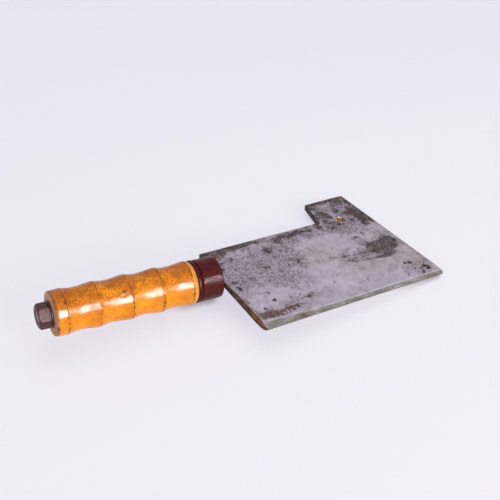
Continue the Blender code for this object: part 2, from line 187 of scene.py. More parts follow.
class Material(Graph):
    """A Principled material in the object's own coordinates."""

    def __init__(self, name):
        self.mat = bpy.data.materials.new(name)
        self.mat.use_nodes = True
        super().__init__(self.mat.node_tree)
        self.bsdf = self.node("BsdfPrincipled")
        self.node("OutputMaterial", {0: Signal(self, self.bsdf.outputs[0])})

    @cached_property
    def co(self):
        return self.add("TexCoord", output="Object")

    def axes(self, vector):
        split = self.node("SeparateXYZ", {0: vector})
        return [Signal(self, split.outputs[i]) for i in range(3)]

    def noise(self, scale, detail, rough, seed=None, at=None):
        inputs = {"Vector": at or self.co, "Scale": scale, "Detail": detail, "Roughness": rough}
        if seed is None:
            return self.add("TexNoise", inputs)
        return self.add("TexNoise", {**inputs, "W": seed}, noise_dimensions="4D")

    def wide(self, scale, detail, rough, seed=0.0, turn=0.0):
        """Noise stretched to about -1..1; three scales stretch it along x, y and z, turned
        by an angle about z."""
        at = None
        if isinstance(scale, tuple):
            at = self.add("Mapping", {0: self.co, "Scale": scale, "Rotation": (0, 0, turn)})
            scale = 1.0
        return (self.noise(scale, detail, rough, seed, at) - 0.5) * 8.0

    def ramp(self, fac, stops):
        """Stops are (position, colour)."""
        node = self.node("ValToRGB", {0: fac})
        elements = node.color_ramp.elements
        while len(elements) < len(stops):
            elements.new(0.5)
        for element, (position, colour) in zip(elements, stops):
            element.position = position
            element.color = (*colour, 1.0)
        return Signal(self, node.outputs[0])

    def attr(self, name):
        return self.add("Attribute", output="Fac", attribute_name=name)

    def distance(self, point):
        return self.add("VectorMath", {0: self.co, 1: point}, output="Value",
                        operation="DISTANCE")

    def bump(self, height, strength, distance):
        return self.add("Bump", {"Height": height, "Strength": strength, "Distance": distance})

    def edge(self, radius, samples):
        """About 1 on arrises, 0 on flats."""
        rounded_normal = self.add("Bevel", {"Radius": radius}, samples=samples)
        normal = self.add("NewGeometry", output="Normal")
        return 1.0 - self.add("VectorMath", {0: rounded_normal, 1: normal}, output="Value",
                              operation="DOT_PRODUCT")

    def surface(self, **values):
        """Sets Principled inputs, named in lower case with underscores."""
        for key, value in values.items():
            name = key.replace("_", " ").title().replace("Ior", "IOR")
            self.put(self.bsdf.inputs[name], value)
        return self.mat


# ------------------------------------------------------------------ mesh helpers
def make(name, verts, faces, mat, node, smooth, body="cleaver", attrs=None):
    """Mesh from tool-frame millimetres; attrs are float values for each vertex."""
    mesh = bpy.data.meshes.new(name)
    mesh.from_pydata([tuple(v) for v in np.asarray(verts, float) * MM], [],
                     [tuple(f) for f in faces])
    mesh.validate()
    bm = bmesh.new()
    bm.from_mesh(mesh)
    bmesh.ops.recalc_face_normals(bm, faces=bm.faces)
    bm.to_mesh(mesh)
    bm.free()
    for key, values in (attrs or {}).items():
        attribute = mesh.attributes.new(key, "FLOAT", "POINT")
        attribute.data.foreach_set("value", np.asarray(values, np.float32))
    return place(name, mesh, mat, node, smooth, body)


def place(name, mesh, mat, node, smooth, body="cleaver"):
    """Object that rides on a CAD body, stands for a CAD node and is sharp above an angle."""
    mesh.materials.clear()
    mesh.materials.append(mat)
    mesh.shade_smooth()
    mesh.set_sharp_from_angle(angle=math.radians(smooth))
    obj = link_object(name, mesh)
    obj.matrix_world = TOOL
    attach(obj, body)
    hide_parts(node)
    return obj


def link_object(name, data):
    obj = bpy.data.objects.new(name, data)
    bpy.context.scene.collection.objects.link(obj)
    return obj


def lathe(profile, segments, radial=None):
    """Closed (x, r) loop about the handle axis; radial(x, r, angle) moves points in or out.
    The angle starts straight up and turns towards the cutting-edge side."""
    verts, faces = [], []
    n = len(profile)
    for i in range(segments):
        angle = TAU * i / segments
        for x, r in profile:
            r += radial(x, r, angle) if radial else 0.0
            verts.append((x, -r * math.sin(angle), r * math.cos(angle)))
    for i in range(segments):
        j = (i + 1) % segments
        for k in range(n):
            m = (k + 1) % n
            faces.append((i * n + k, i * n + m, j * n + m, j * n + k))
    return verts, faces


def arc(x, r, radius, start, end, steps):
    """Profile points round a centre (x, r), angles in degrees."""
    angles = [math.radians(start + (end - start) * i / steps) for i in range(steps + 1)]
    return [(x + radius * math.cos(a), r + radius * math.sin(a)) for a in angles]


def lumps(x, y, z, spacing):
    """Smooth noise, about -1 to 1, with features `spacing` millimetres apart."""
    return noise.noise(Vector((x / spacing, y / spacing, z / spacing)))


lumps_each = np.vectorize(lumps)


def skin_lumps(x, angle, spacing):
    """Noise over the outside of the handle, taken at a radius of 17."""
    return lumps(math.cos(angle) * 17, math.sin(angle) * 17, x, spacing)


def smoothstep(value, lo, hi):
    t = np.clip((value - lo) / (hi - lo), 0, 1)
    return t * t * (3 - 2 * t)


# ------------------------------------------------------------------ blade shape
# In the blade's own plane, x runs along the cutting edge from the heel and y up from the edge.
EDGE_LENGTH, BACK_HEIGHT, HEEL_LEAN = 174.0, 105.1, 3.2
NOTCH_X, NOTCH_RADIUS = 122.3, 2.7
TAB_REAR_X, TAB_REAR_HEIGHT = 129.3, 136.2
TAB_FRONT_X, TAB_FRONT_HEIGHT = 171.3, 137.3
HALF = 2.25                                  # half the thickness of the blade
SHOULDER_HALF, EDGE_HALF = 1.93, 0.13        # the same at the bevel's top and at the edge
TAPER_TOP = 17.5                             # height where the blade reaches full thickness
BAND_TOP = 62.0                              # top of the ground band beside the heel
HOLE_X, HOLE_Y, HOLE_R = 144.8, 102.0, 4.3
TONGUE_FRONT, TONGUE_HALF = 123.1, 10.0      # end and half width in the bolster, tool frame
OUTLINE_RINGS = (0.0, 0.10, 0.26, 0.5)       # loops inside the outline, by distance
HOLE_RINGS = (0.0, 0.12, 0.3, 0.6)           # loops round the hole, by distance
HOLE_SEGMENTS = 72
GRID = 1.15                                  # spacing of the points on the flats
WALL_ROWS = (0.06, 0.28, 0.5, 0.72, 0.94)    # rows down the side wall, share of its depth

# the heel corner in the tool frame, and the blade's tilt
HEEL_X, HEEL_Y = 134.3, -74.8
TILT = math.radians(3.87)
COS_TILT, SIN_TILT = math.cos(TILT), math.sin(TILT)

# The chart of the upper flat lies along the tool frame, with its origin on the handle axis
# and a unit of 1.033 mm.
CHART_X, CHART_UNIT = 122.6, 1.033

# soft elliptical patches on the chart: x, y, half length, half width, angle in degrees, strength
PATINA = [
    (14, 26.5, 9, 4, 0, 1), (30, 28, 14, 3.2, 4, 1), (47, 29.6, 11, 3, 4, 0.85),
    (40, 28, 28, 4, 4, 0.2), (26, 17, 4.5, 6.5, 20, 0.88), (18, 14, 2.5, 7, 0, 0.45),
    (58, 27, 1.8, 3, 0, 0.5), (74.5, 24, 3.6, 5.4, 25, 0.85), (86, 29, 9, 3.6, 6, 0.85),
    (97, 30.5, 7, 3, 4, 0.75), (104, 21, 5, 5, 0, 0.4), (109, 31, 2.6, 4, 0, 0.7),
    (119, 31, 2.8, 6, 10, 0.95), (123, 40, 2.2, 5, -20, 0.6), (122.5, 52, 3.2, 14, -8, 0.9),
    (128, 64, 5, 4, 30, 0.9), (147, 67.3, 23, 2.8, 4, 1), (128, 46, 2.5, 4, 0, 0.45),
    (134.5, 46.5, 3.6, 5.2, 25, 1), (131, 50.5, 2.6, 2.6, 0, 0.8), (137.5, 42, 2.4, 3, 0, 0.8),
    (147.6, 50, 3.4, 5.2, -12, 1.05), (158, 61, 9, 4, 10, 0.42), (151, 57.5, 3.5, 3, -30, 0.2),
    (164.5, 38, 6, 12, 4, 1.05), (168, 56, 3, 13, 4, 0.8), (160, 44, 4, 6, 10, 0.55),
    (153.5, 44, 2.2, 3.5, 0, 0.7), (161, 24.5, 3.6, 5, -10, 0.85), (169, 30, 2.4, 8, 4, 0.6),
    (153, 30, 2.5, 4, 0, 0.55), (129.5, 27.5, 4.5, 3, 20, 0.45), (138, 26, 9, 5.5, 20, 0.38),
    (137, 33, 4, 3, 0, 0.5), (130, 35, 3.5, 3, 0, 0.5), (129.5, 11, 3.2, 2.6, 0, 0.6),
    (132, 4.6, 6, 1.8, 6, 0.62), (140.5, 6.8, 3.2, 2.2, 15, 0.65),
    (148.5, 11.4, 3.6, 1.6, 8, 0.65), (157.5, 12.8, 3, 1.3, 5, 0.6), (117, 2, 5, 1.4, 5, 0.35),
    (165, -7, 5.2, 7.6, 4, 1.15), (155, -7, 7.5, 4.2, 0, 0.72), (153, -18.5, 7, 6.5, 25, 1.05),
    (160, -13, 5, 5, 0, 0.8), (146, -12, 7, 7, 0, 0.5), (146, -25.5, 6.5, 2.2, -6, 0.85),
    (130, -24.6, 15, 1.6, -3, 0.72), (116, -21, 5, 1.4, -15, 0.45), (103, -13, 14, 1.2, -8, 0.5),
    (122, -15.2, 14, 1.4, -4, 0.45), (137, -17, 9, 4, 0, 0.42), (61.5, 14.6, 4.8, 4.2, 10, 0.92),
    (43.5, 12, 3.4, 3, 0, 0.78), (74.5, -5.5, 3.8, 5.2, 20, 0.8), (57, -14, 2, 2.6, 0, 0.55),
    (50, -6, 5, 3, 0, 0.6), (62, 4, 6, 3, 30, 0.55), (66, -10, 6, 3, 0, 0.5),
    (35, -16.5, 6, 2.2, 0, 0.5), (22, -17.5, 5, 2.2, 0, 0.5), (16.4, -14.6, 2.8, 2.4, 0, 0.75),
    (15, 2, 1.6, 12, 0, 0.45), (60, -50, 7.5, 2.8, 14, 0.8), (34, -36, 1.6, 3.2, 0, 0.45),
    (164, -52, 2.2, 4, -10, 0.7), (170.2, -50, 2.6, 4.8, 10, 0.8), (158.5, -40.5, 3.4, 1.5, 0, 0.6),
    (155, -51, 2.4, 2.2, 0, 0.35), (174, -33, 2.4, 14, 4, 0.35), (22.5, -52.2, 2.2, 2, 0, 0.5),
    (160, 50, 11, 18, 4, 0.28), (129, 44, 7, 13, 0, 0.5), (133, 57, 5, 3, 0, 0.4),
    (140, 49, 3, 3, 0, 0.35), (146, 62, 22, 6, 4, 0.4), (142, 28, 16, 10, 0, 0.18),
    (30, 26, 26, 5, 4, 0.35), (88, 27, 22, 6, 4, 0.3), (153, -12, 16, 12, 10, 0.4),
]
SPECKLE = [
    (30, -11, 20, 12, 0, 0.95), (48, -10, 34, 15, 4, 0.85), (68, -3, 13, 13, 0, 1),
    (35, 12, 26, 14, 0, 0.65), (60, 12, 14, 9, 0, 0.7), (95, 25, 26, 9, 4, 0.75),
    (135, 24, 18, 11, 0, 1), (150, 42, 18, 18, 0, 0.85), (150, -12, 22, 14, 10, 1),
    (120, -18, 30, 8, -4, 0.6), (17, -30, 7, 20, 0, 0.6), (85, 8, 12, 10, 0, 0.4),
    (160, -48, 16, 9, 0, 0.6), (150, 60, 20, 8, 0, 0.7), (62, -30, 16, 10, 0, 0.35),
    (60, -50, 12, 6, 0, 0.6), (30, -58, 24, 5, 2, 0.8), (45, -24, 16, 6, 0, 0.5),
    (162, 10, 12, 10, 0, 0.4), (147, 50, 26, 22, 0, 0.45), (32, 21, 32, 9, 4, 0.4),
    (92, 27, 24, 7, 4, 0.4),
]
CLEAN = [
    (35, 18.5, 12, 3.2, 0, 0.7), (38, -25, 7, 5.5, 0, 0.8), (28, -44, 12, 8, 0, 0.45),
    (88, -26, 20, 16, 0, 0.6), (122, 15, 10, 7, 0, 0.6), (100, 8, 14, 9, 0, 0.45),
    (90, -48, 26, 9, 0, 0.4), (157, 47.5, 2.6, 2.2, 0, 0.9), (143, 57, 9, 5, 0, 0.8),
    (127, 54, 2.5, 5, 0, 0.5), (151, -1, 4, 3, 0, 0.3), (60, 24, 6, 3, 0, 0.4),
]
RUST = [
    (15, -58.5, 5, 3.4, 4, 1.2), (27, -58.2, 12, 2.8, 3, 1), (44, -57, 8, 1.6, 6, 0.7),
    (24, -61.8, 12, 1.8, 2, 0.7), (12.5, -54, 2.6, 7, 0, 0.75), (13, -36, 1.6, 9, 0, 0.55),
    (50, -62, 8, 1.4, 4, 0.45), (18.5, 21, 3, 5, 20, 0.85), (170, -56.5, 7, 1.8, 4, 0.55),
    (43, -68, 4, 2, 0, 0.5), (173.5, -36, 1.6, 9, 4, 0.4),
]
TAN = [
    (95, -10, 16, 9, 0, 0.6), (135, -34, 30, 10, 0, 0.7), (110, 0, 20, 10, 0, 0.4),
    (168, -30, 10, 22, 0, 0.9), (60, -52, 8, 6, 0, 0.35), (44, -68, 7, 4, 0, 1),
    (84, -65, 16, 4, 4, 0.8), (160, -60, 20, 4, 4, 0.9), (172, 5, 3, 30, 4, 0.6),
    (20, 24, 10, 6, 0, 0.5), (112, -62, 8, 3, 0, 0.8), (16, -62, 8, 3, 0, 0.6),
    (30, -70, 20, 3, 4, 0.5),
]
# small pits: chart x, chart y, radius and depth in millimetres
PITS = [
    (15.8, -15.5, 1.9, 0.22), (16.4, -23.6, 1.9, 0.55), (34, -36, 1.3, 0.12),
    (33.6, -45.2, 1.45, 0.55), (22.2, -52.2, 1.3, 0.25), (54.8, -46, 1.1, 0.08),
    (88, -42, 0.8, 0.12), (114.8, -48, 0.75, 0.2), (155.8, -40, 1.1, 0.4),
    (160.2, -40.6, 1.7, 0.5), (168.6, -48.5, 1.3, 0.5), (170.3, -52, 1.9, 0.45),
    (163.4, -55, 1.4, 0.5), (159.4, -49.6, 0.8, 0.25), (119, -52, 0.7, 0.05),
    (47, -58.6, 0.9, 0.25), (42, -59.8, 0.9, 0.25), (45.6, -67.4, 0.8, 0.3),
    (31, -17, 1.2, 0.06), (56.5, -13, 1.1, 0.06), (16, 3.2, 1.4, 0.3),
    (18.6, 10.5, 1.2, 0.25), (71, 26, 1, 0.15), (148.3, -56, 0.7, 0.05),
]
PIT_RINGS = ((0.4, 6), (0.75, 9), (1.0, 11), (1.25, 12))    # share of the radius, points
# nicks in the cutting edge: x along the edge, depth, width
EDGE_NICKS = [
    (8, 0.25, 1.5), (14, 0.35, 1.1), (23, 0.30, 1.4), (31, 0.22, 1.0), (44, 0.4, 1.3),
    (52, 0.3, 1.0), (61, 0.25, 1.6), (78, 0.2, 1.2), (93, 0.45, 1.2), (104, 0.2, 1.5),
    (121, 0.3, 1.0), (128, 0.35, 1.3), (142, 0.25, 1.1), (151, 0.35, 1.4), (160, 0.25, 1.0),
    (167, 0.4, 1.6),
]


def to_tool(x, y):
    return HEEL_X + x * COS_TILT - y * SIN_TILT, HEEL_Y + x * SIN_TILT + y * COS_TILT


def to_blade(x, y):
    dx, dy = x - HEEL_X, y - HEEL_Y
    return dx * COS_TILT + dy * SIN_TILT, -dx * SIN_TILT + dy * COS_TILT


def chart_to_blade(x, y):
    return to_blade(CHART_X + x * CHART_UNIT, y * CHART_UNIT)


def patch_field(x, y, patches):
    """Sum of the soft patches at tool-frame points."""
    total = np.zeros_like(x)
    chart_x, chart_y = (x - CHART_X) / CHART_UNIT, y / CHART_UNIT
    for centre_x, centre_y, length, width, degrees, strength in patches:
        angle = math.radians(degrees)
        dx, dy = chart_x - centre_x, chart_y - centre_y
        p = (dx * math.cos(angle) + dy * math.sin(angle)) / length
        q = (-dx * math.sin(angle) + dy * math.cos(angle)) / width
        total = total + strength * np.exp(-((p * p + q * q) ** 1.5) * 0.7)
    return total


def rounded(corners, spacing=1.0):
    """Corners (x, y, radius) to a dense outline."""
    points = []
    for i, (x, y, radius) in enumerate(corners):
        corner = Vector((x, y))
        if radius <= 0:
            points.append(corner)
            continue
        back = (Vector(corners[i - 1][:2]) - corner).normalized()
        ahead = (Vector(corners[(i + 1) % len(corners)][:2]) - corner).normalized()
        half = back.angle(ahead) / 2
        centre = corner + (back + ahead).normalized() * (radius / math.sin(half))
        reach = radius / math.tan(half)
        first = corner + back * reach - centre
        turn = first.angle_signed(corner + ahead * reach - centre)
        steps = max(6, int(abs(turn) * radius / 0.35))
        for k in range(steps + 1):
            t = -turn * k / steps
            points.append(centre + Vector((first.x * math.cos(t) - first.y * math.sin(t),
                                           first.x * math.sin(t) + first.y * math.cos(t))))
    dense = []
    for a, b in zip(points, points[1:] + points[:1]):
        steps = max(1, int(math.ceil((b - a).length / spacing)))
        for k in range(steps):
            dense.append(a.lerp(b, k / steps))
    return dense


def blade_outline():
    """The blade's outline with its tongue, and a cutting edge worn by nicks and a wander."""
    def heel_line(y):
        x0, y0 = to_tool(0.0, 0.0)
        x1, y1 = to_tool(HEEL_LEAN, BACK_HEIGHT)
        return x0 + (x1 - x0) * (y - y0) / (y1 - y0)

    outline = rounded([
        (0.0, 0.0, 2.6), (EDGE_LENGTH, 0.0, 2.4), (TAB_FRONT_X, TAB_FRONT_HEIGHT, 1.0),
        (TAB_REAR_X, TAB_REAR_HEIGHT, 1.4), (NOTCH_X, BACK_HEIGHT + 0.4, NOTCH_RADIUS),
        (HEEL_LEAN, BACK_HEIGHT, 1.2),
        (*to_blade(heel_line(TONGUE_HALF), TONGUE_HALF), 0.0),
        (*to_blade(TONGUE_FRONT, TONGUE_HALF), 0.8),
        (*to_blade(TONGUE_FRONT, -TONGUE_HALF), 0.8),
        (*to_blade(heel_line(-TONGUE_HALF), -TONGUE_HALF), 0.0),
    ])
    outline = np.array([(p.x, p.y) for p in outline])
    for i in np.where(outline[:, 1] < 0.6)[0]:
        x, y = outline[i]
        lift = 0.10 + 0.08 * lumps(x, 3.1, 0, 9.0) + 0.06 * lumps(x, 9.7, 0, 2.2)
        for nick_x, depth, width in EDGE_NICKS:
            lift += depth * math.exp(-((x - nick_x) / (width * 0.5)) ** 2)
        outline[i, 1] = max(y, 0) + max(0.0, lift) * (1.0 if y < 0.05 else 0.5)
    return outline


def nearest(points, distances):
    """Smallest distance of each point, worked out in chunks to save memory."""
    return np.concatenate([distances(points[i:i + 2000]).min(1)
                           for i in range(0, len(points), 2000)])


def outline_point_distance(points, outline):
    return nearest(points, lambda q: np.hypot(*(q[:, None] - outline).transpose(2, 0, 1)))


def outline_distance(points, outline):
    side = np.roll(outline, -1, 0) - outline

    def distances(q):
        t = ((q[:, None] - outline[None]) * side[None]).sum(2) / (side * side).sum(1)[None]
        foot = outline[None] + np.clip(t, 0, 1)[:, :, None] * side[None]
        return np.hypot(*(q[:, None] - foot).transpose(2, 0, 1))

    return nearest(points, distances)


def is_inside(points, outline):
    """Even-odd test against the outline."""
    inside = np.zeros(len(points), bool)
    x, y = points[:, 0], points[:, 1]
    for (x0, y0), (x1, y1) in zip(outline, np.roll(outline, -1, 0)):
        spans = (y0 > y) != (y1 > y)
        with np.errstate(divide="ignore", invalid="ignore"):
            cross = (x1 - x0) * (y - y0) / (y1 - y0) + x0
        inside ^= spans & (x < cross)
    return inside


def heel_x(y):
    return HEEL_LEAN * y / BACK_HEIGHT


def blade_points(outline):
    """Interior points: a staggered grid, with closer rows on the bevel, the heel and the pits."""
    def columns(x, y):
        return np.stack([x.ravel(), y.ravel()], 1)

    x, y = np.meshgrid(np.arange(-12, 176, GRID), np.arange(0, 140, GRID * 0.866))
    grid = columns(x + (np.arange(x.shape[0])[:, None] % 2) * GRID / 2, y)
    grid = grid[grid[:, 1] > 9.0]
    grid = grid[(np.abs(grid[:, 0] - heel_x(grid[:, 1])) > 4.1) | (grid[:, 1] > 64)]
    bevel_rows = np.array([1.1, 2.2, 3.2, 4.2, 5.2, 6.2, 7.2, 8.2])
    bevel = columns(*np.meshgrid(np.arange(1.0, 173.5, 1.0), bevel_rows))
    heel_columns = np.array([0.95, 1.4, 1.85, 2.3, 2.75, 3.3, 3.9])
    y, gap = np.meshgrid(np.arange(9.3, 64.0, 0.85), heel_columns)
    grid = np.concatenate([grid, bevel, columns(heel_x(y) + gap, y)])

    pit_points = []
    for chart_x, chart_y, radius, _ in PITS:
        x, y = chart_to_blade(chart_x, chart_y)
        grid = grid[np.hypot(grid[:, 0] - x, grid[:, 1] - y) > radius * 1.35]
        pit_points.append((x, y))
        for share, count in PIT_RINGS:
            for k in range(count):
                angle = TAU * (k + share) / count
                pit_points.append((x + radius * share * math.cos(angle),
                                   y + radius * share * math.sin(angle)))
    grid = np.concatenate([grid, np.array(pit_points)])
    grid = grid[is_inside(grid, outline)]
    grid = grid[np.hypot(grid[:, 0] - HOLE_X, grid[:, 1] - HOLE_Y) > HOLE_R + 1.1]
    return grid[outline_point_distance(grid, outline) > 0.85]


def triangulated(outline):
    """Points and triangles of one flat, with close loops along the outline and the hole."""
    tangent = np.roll(outline, -1, 0) - np.roll(outline, 1, 0)
    tangent /= np.linalg.norm(tangent, axis=1)[:, None]
    inward = np.stack([-tangent[:, 1], tangent[:, 0]], 1)
    angle = np.arange(HOLE_SEGMENTS) * TAU / HOLE_SEGMENTS
    loops = [outline + inward * d for d in OUTLINE_RINGS]
    loops += [np.stack([HOLE_X + (HOLE_R + d) * np.cos(angle),
                        HOLE_Y + (HOLE_R + d) * np.sin(angle)], 1) for d in HOLE_RINGS]
    coords, edges = [], []
    for loop in loops:
        base, count = len(coords), len(loop)
        edges += [(base + i, base + (i + 1) % count) for i in range(count)]
        coords += [tuple(p) for p in loop]
    coords += [tuple(p) for p in blade_points(outline)]
    result = delaunay_2d_cdt([Vector(c) for c in coords], edges,
                             [list(range(len(outline)))], 1, 1e-5)
    points = np.array([(v.x, v.y) for v in result[0]])
    tris = np.array([f for f in result[2] if len(f) == 3])
    middle = points[tris].mean(1)
    outside_hole = np.hypot(middle[:, 0] - HOLE_X, middle[:, 1] - HOLE_Y) > HOLE_R * 0.995
    tris = tris[outside_hole]
    used = np.unique(tris)
    remap = -np.ones(len(points), int)
    remap[used] = np.arange(len(used))
    return points[used], remap[tris]


def half_thickness(x, y, bevel_width, to_outline, to_hole, seed, ground=0.0):
    """Height of a flat above the blade's middle plane; ground is taken off beside the heel."""
    bevel = EDGE_HALF + (SHOULDER_HALF - EDGE_HALF) * np.clip(y / bevel_width, 0, 1)
    rise = np.clip((y - bevel_width) / (TAPER_TOP - bevel_width), 0, 1)
    taper = SHOULDER_HALF + (HALF - SHOULDER_HALF) * (1 - (1 - rise) ** 2)
    height = np.where(y < bevel_width, bevel, taper)
    # soften the bevel's shoulder
    height = height - 0.035 * np.exp(-((y - bevel_width) / 0.7) ** 2)
    wave = (0.028 * lumps_each(x, y, seed, 26.0) + 0.014 * lumps_each(x, y, seed + 7, 7.0)
            + 0.008 * lumps_each(x, y, seed + 3, 2.6))
    height = height + wave * (0.35 + 0.65 * smoothstep(y, 1.0, 9.0)) - 0.03
    height = height - ground
    # worn arris of the outline and of the hole
    wear = 0.30 + 0.10 * lumps_each(x, y, seed + 11, 6.0)
    for distance, reach, share in ((to_outline, 0.5, smoothstep(y, 0.5, 6.0)),
                                   (to_hole, 0.55, 1.0)):
        t = np.clip(1 - distance / reach, 0, 1)
        height = height - wear * (1 - np.sqrt(np.clip(1 - t * t, 0, 1))) * share
    return np.maximum(height, 0.10)


def cut_pits(x, y, top):
    """Uneven, elongated pits in the upper flat; returns the new height and a mask."""
    mask = np.zeros(len(x))
    for chart_x, chart_y, radius, depth in PITS:
        centre_x, centre_y = chart_to_blade(chart_x, chart_y)
        dx, dy = x - centre_x, y - centre_y
        angle = np.arctan2(dy, dx)
        # the chart place doubles as the phase of the uneven rim
        wobble = 1 + 0.22 * np.sin(angle * 2 + chart_x) + 0.12 * np.sin(angle * 3 + chart_y)
        along, across = dx * 0.515 + dy * 0.857, dx * 0.857 - dy * 0.515
        r = np.hypot(across / 0.92, along / 1.45) / (radius * wobble)
        top = top - depth * np.clip(1 - r * r, 0, 1) ** 0.8
        mask = np.maximum(mask, smoothstep(1.35 - r, 0, 0.5) * min(1.0, 0.42 + 1.3 * depth))
    return top, mask


def scatter_pits(x, y, bottom):
    """Shallow pits scattered over the lower flat; returns the new height and a mask."""
    rng = np.random.default_rng(7)
    mask = np.zeros(len(x))
    for _ in range(60):
        centre_x, centre_y = rng.uniform(4, 168), rng.uniform(10, 100)
        radius = rng.uniform(0.9, 2.0)
        r = np.hypot(x - centre_x, y - centre_y) / radius
        bottom = bottom - rng.uniform(0.1, 0.35) * np.clip(1 - r * r, 0, 1)
        mask = np.maximum(mask, smoothstep(1.2 - r, 0, 0.6))
    return bottom, mask


def blade_walls(x, y, top, bottom, tris):
    """Dented side walls along every open edge: new points, their rim points, and faces."""
    count = len(x)
    sides = {(int(a), int(b)): None for t in tris
             for a, b in ((t[0], t[1]), (t[1], t[2]), (t[2], t[0]))}
    border = [(a, b) for a, b in sides if (b, a) not in sides]
    following, leading = {}, {}
    for a, b in border:
        following.setdefault(a, b)
        leading[b] = a
    rim = sorted(following)
    points = []
    rows = [{i: i for i in rim}]
    for k, share in enumerate(WALL_ROWS):
        row = {}
        for i in rim:
            dx, dy = x[following[i]] - x[leading[i]], y[following[i]] - y[leading[i]]
            length = max(np.hypot(dx, dy), 1e-9)
            depth = top[i] + bottom[i]
            dent = (min(0.14, 0.05 * depth) * math.sin(math.pi * share)
                    * (0.5 + 0.5 * lumps(x[i] * 1.3, y[i] * 1.3, k * 1.7, 2.2)))
            row[i] = 2 * count + len(points)
            points.append((x[i] - dy / length * dent, y[i] + dx / length * dent,
                           top[i] - depth * share))
        rows.append(row)
    rows.append({i: i + count for i in rim})
    faces = [(upper[b], upper[a], lower[a], lower[b]) for a, b in border
             for upper, lower in zip(rows, rows[1:])]
    return np.array(points), np.tile(rim, len(WALL_ROWS)), faces


def build_blade(material):
    outline = blade_outline()
    points, tris = triangulated(outline)
    x, y = points[:, 0], points[:, 1]
    tool_x, tool_y = to_tool(x, y)
    to_outline = outline_distance(points, outline)
    to_hole = np.abs(np.hypot(x - HOLE_X, y - HOLE_Y) - HOLE_R)
    heel_gap = np.abs(x - heel_x(y))

    bevel_width = 7.2 - 3.0 * smoothstep(x, 0, 75) - 0.4 * smoothstep(x, 90, 174)
    bevel_width = np.maximum(bevel_width + lumps_each(x, 0.5, 4.4, 14.0) * 0.35, 2.5)
    band_width = (0.6 + 1.75 * smoothstep(BAND_TOP - y, 0, 24)
                  * (1 + 0.12 * lumps_each(y, 2.0, 1.0, 5.0)))
    band_width = np.where(y > BAND_TOP, 0.0, band_width)
    ground = 0.42 * np.clip(band_width - heel_gap, 0, 9) * smoothstep(y, 2.0, 9.0)

    top = half_thickness(x, y, bevel_width, to_outline, to_hole, seed=1.7, ground=ground)
    bottom = half_thickness(x, y, bevel_width, to_outline, to_hole, seed=41.3)
    top, pit = cut_pits(x, y, top)
    bottom, pit_low = scatter_pits(x, y, bottom)
    wall_points, wall_rim, wall_faces = blade_walls(tool_x, tool_y, top, bottom, tris)
    verts = np.concatenate([np.stack([tool_x, tool_y, top], 1),
                            np.stack([tool_x, tool_y, -bottom], 1), wall_points])
    n = len(x)
    faces = [tuple(t) for t in tris] + [(t[0] + n, t[2] + n, t[1] + n) for t in tris]
    faces += wall_faces

    # the lower flat wears like the upper one seen from elsewhere: shifted, flipped chart points
    flipped = (430.0 - tool_x, 8.0 - tool_y * 0.93)
    zeros = np.zeros(n)
    lower_heel = smoothstep(68.0 - y, 0, 22)
    both = {
        "bevel": np.where(y < bevel_width, 1.0, 0.0) * smoothstep(bevel_width - y, -0.3, 0.5),
        "shoulder": np.exp(-((y - bevel_width) / 0.55) ** 2),
        "rim": np.exp(-(to_outline / 1.6) ** 2) * smoothstep(y, 6, 20),
        "blade_y": y,
        "wall": zeros,
        "heel": (heel_gap < 1.5).astype(float),
    }
    upper_only = {
        "heel_band": smoothstep(band_width + 0.15 - heel_gap, 0, 0.3) * (band_width > 0),
        "heel_arris": np.exp(-((heel_gap - band_width - 0.35) / 0.42) ** 2) * lower_heel,
        "heel_side": (np.exp(-((heel_gap - band_width) / 2.6) ** 2)
                      * (heel_gap > band_width + 0.6) * lower_heel),
    }
    # attribute name: values on the upper flat, values on the lower flat
    flats = {}
    for key, patches, lower_at, lower_share in (
            ("patina", PATINA, flipped, 0.75), ("speckle", SPECKLE, flipped, 1.0),
            ("clean", CLEAN, flipped, 1.0), ("rust", RUST, (tool_x + 30, tool_y), 1.0),
            ("tan", TAN, flipped, 1.0)):
        flats[key] = (patch_field(tool_x, tool_y, patches),
                      lower_share * patch_field(*lower_at, patches))
    flats["pit"] = (pit, pit_low)
    flats.update({key: (values, values) for key, values in both.items()})
    flats.update({key: (values, zeros) for key, values in upper_only.items()})
    attrs = {}
    for key, (upper, lower) in flats.items():
        walls = upper[wall_rim]
        if key == "wall":
            walls = np.ones(len(wall_rim))
        elif key in ("shoulder", "bevel", "pit", "heel_arris", "heel_side"):
            walls = np.zeros(len(wall_rim))
        attrs[key] = np.concatenate([upper, lower, walls])
    make("blade_steel", verts, faces, material, "blade", smooth=42.0,
         attrs=attrs)


# ------------------------------------------------------------------ blade steel
def bevel_colour(m, mid, fine):
    """Greener than the flat, with olive, grey and dark stains."""
    tone = m.wide((60, 260, 60), detail=4, rough=0.6)
    colour = m.ramp(0.5 + tone * 0.30, [
        (0.15, (0.180, 0.163, 0.138)), (0.5, (0.285, 0.268, 0.245)),
        (0.85, (0.430, 0.415, 0.410))])
    olive = (m.attr("tan") + mid * 0.55).step(0.30, 1.1, to=(0, 0.65))
    colour = m.mix(colour, tint=(0.225, 0.190, 0.125), by=olive)
    grey = m.wide(230, detail=5, rough=0.7, seed=5.0).step(0.25, 0.95, to=(0, 0.55))
    colour = m.mix(colour, tint=(0.165, 0.155, 0.135), by=grey)
    return m.mix(colour, tint=(0.095, 0.075, 0.058), by=fine.step(0.20, 0.80, to=(0, 0.55)))


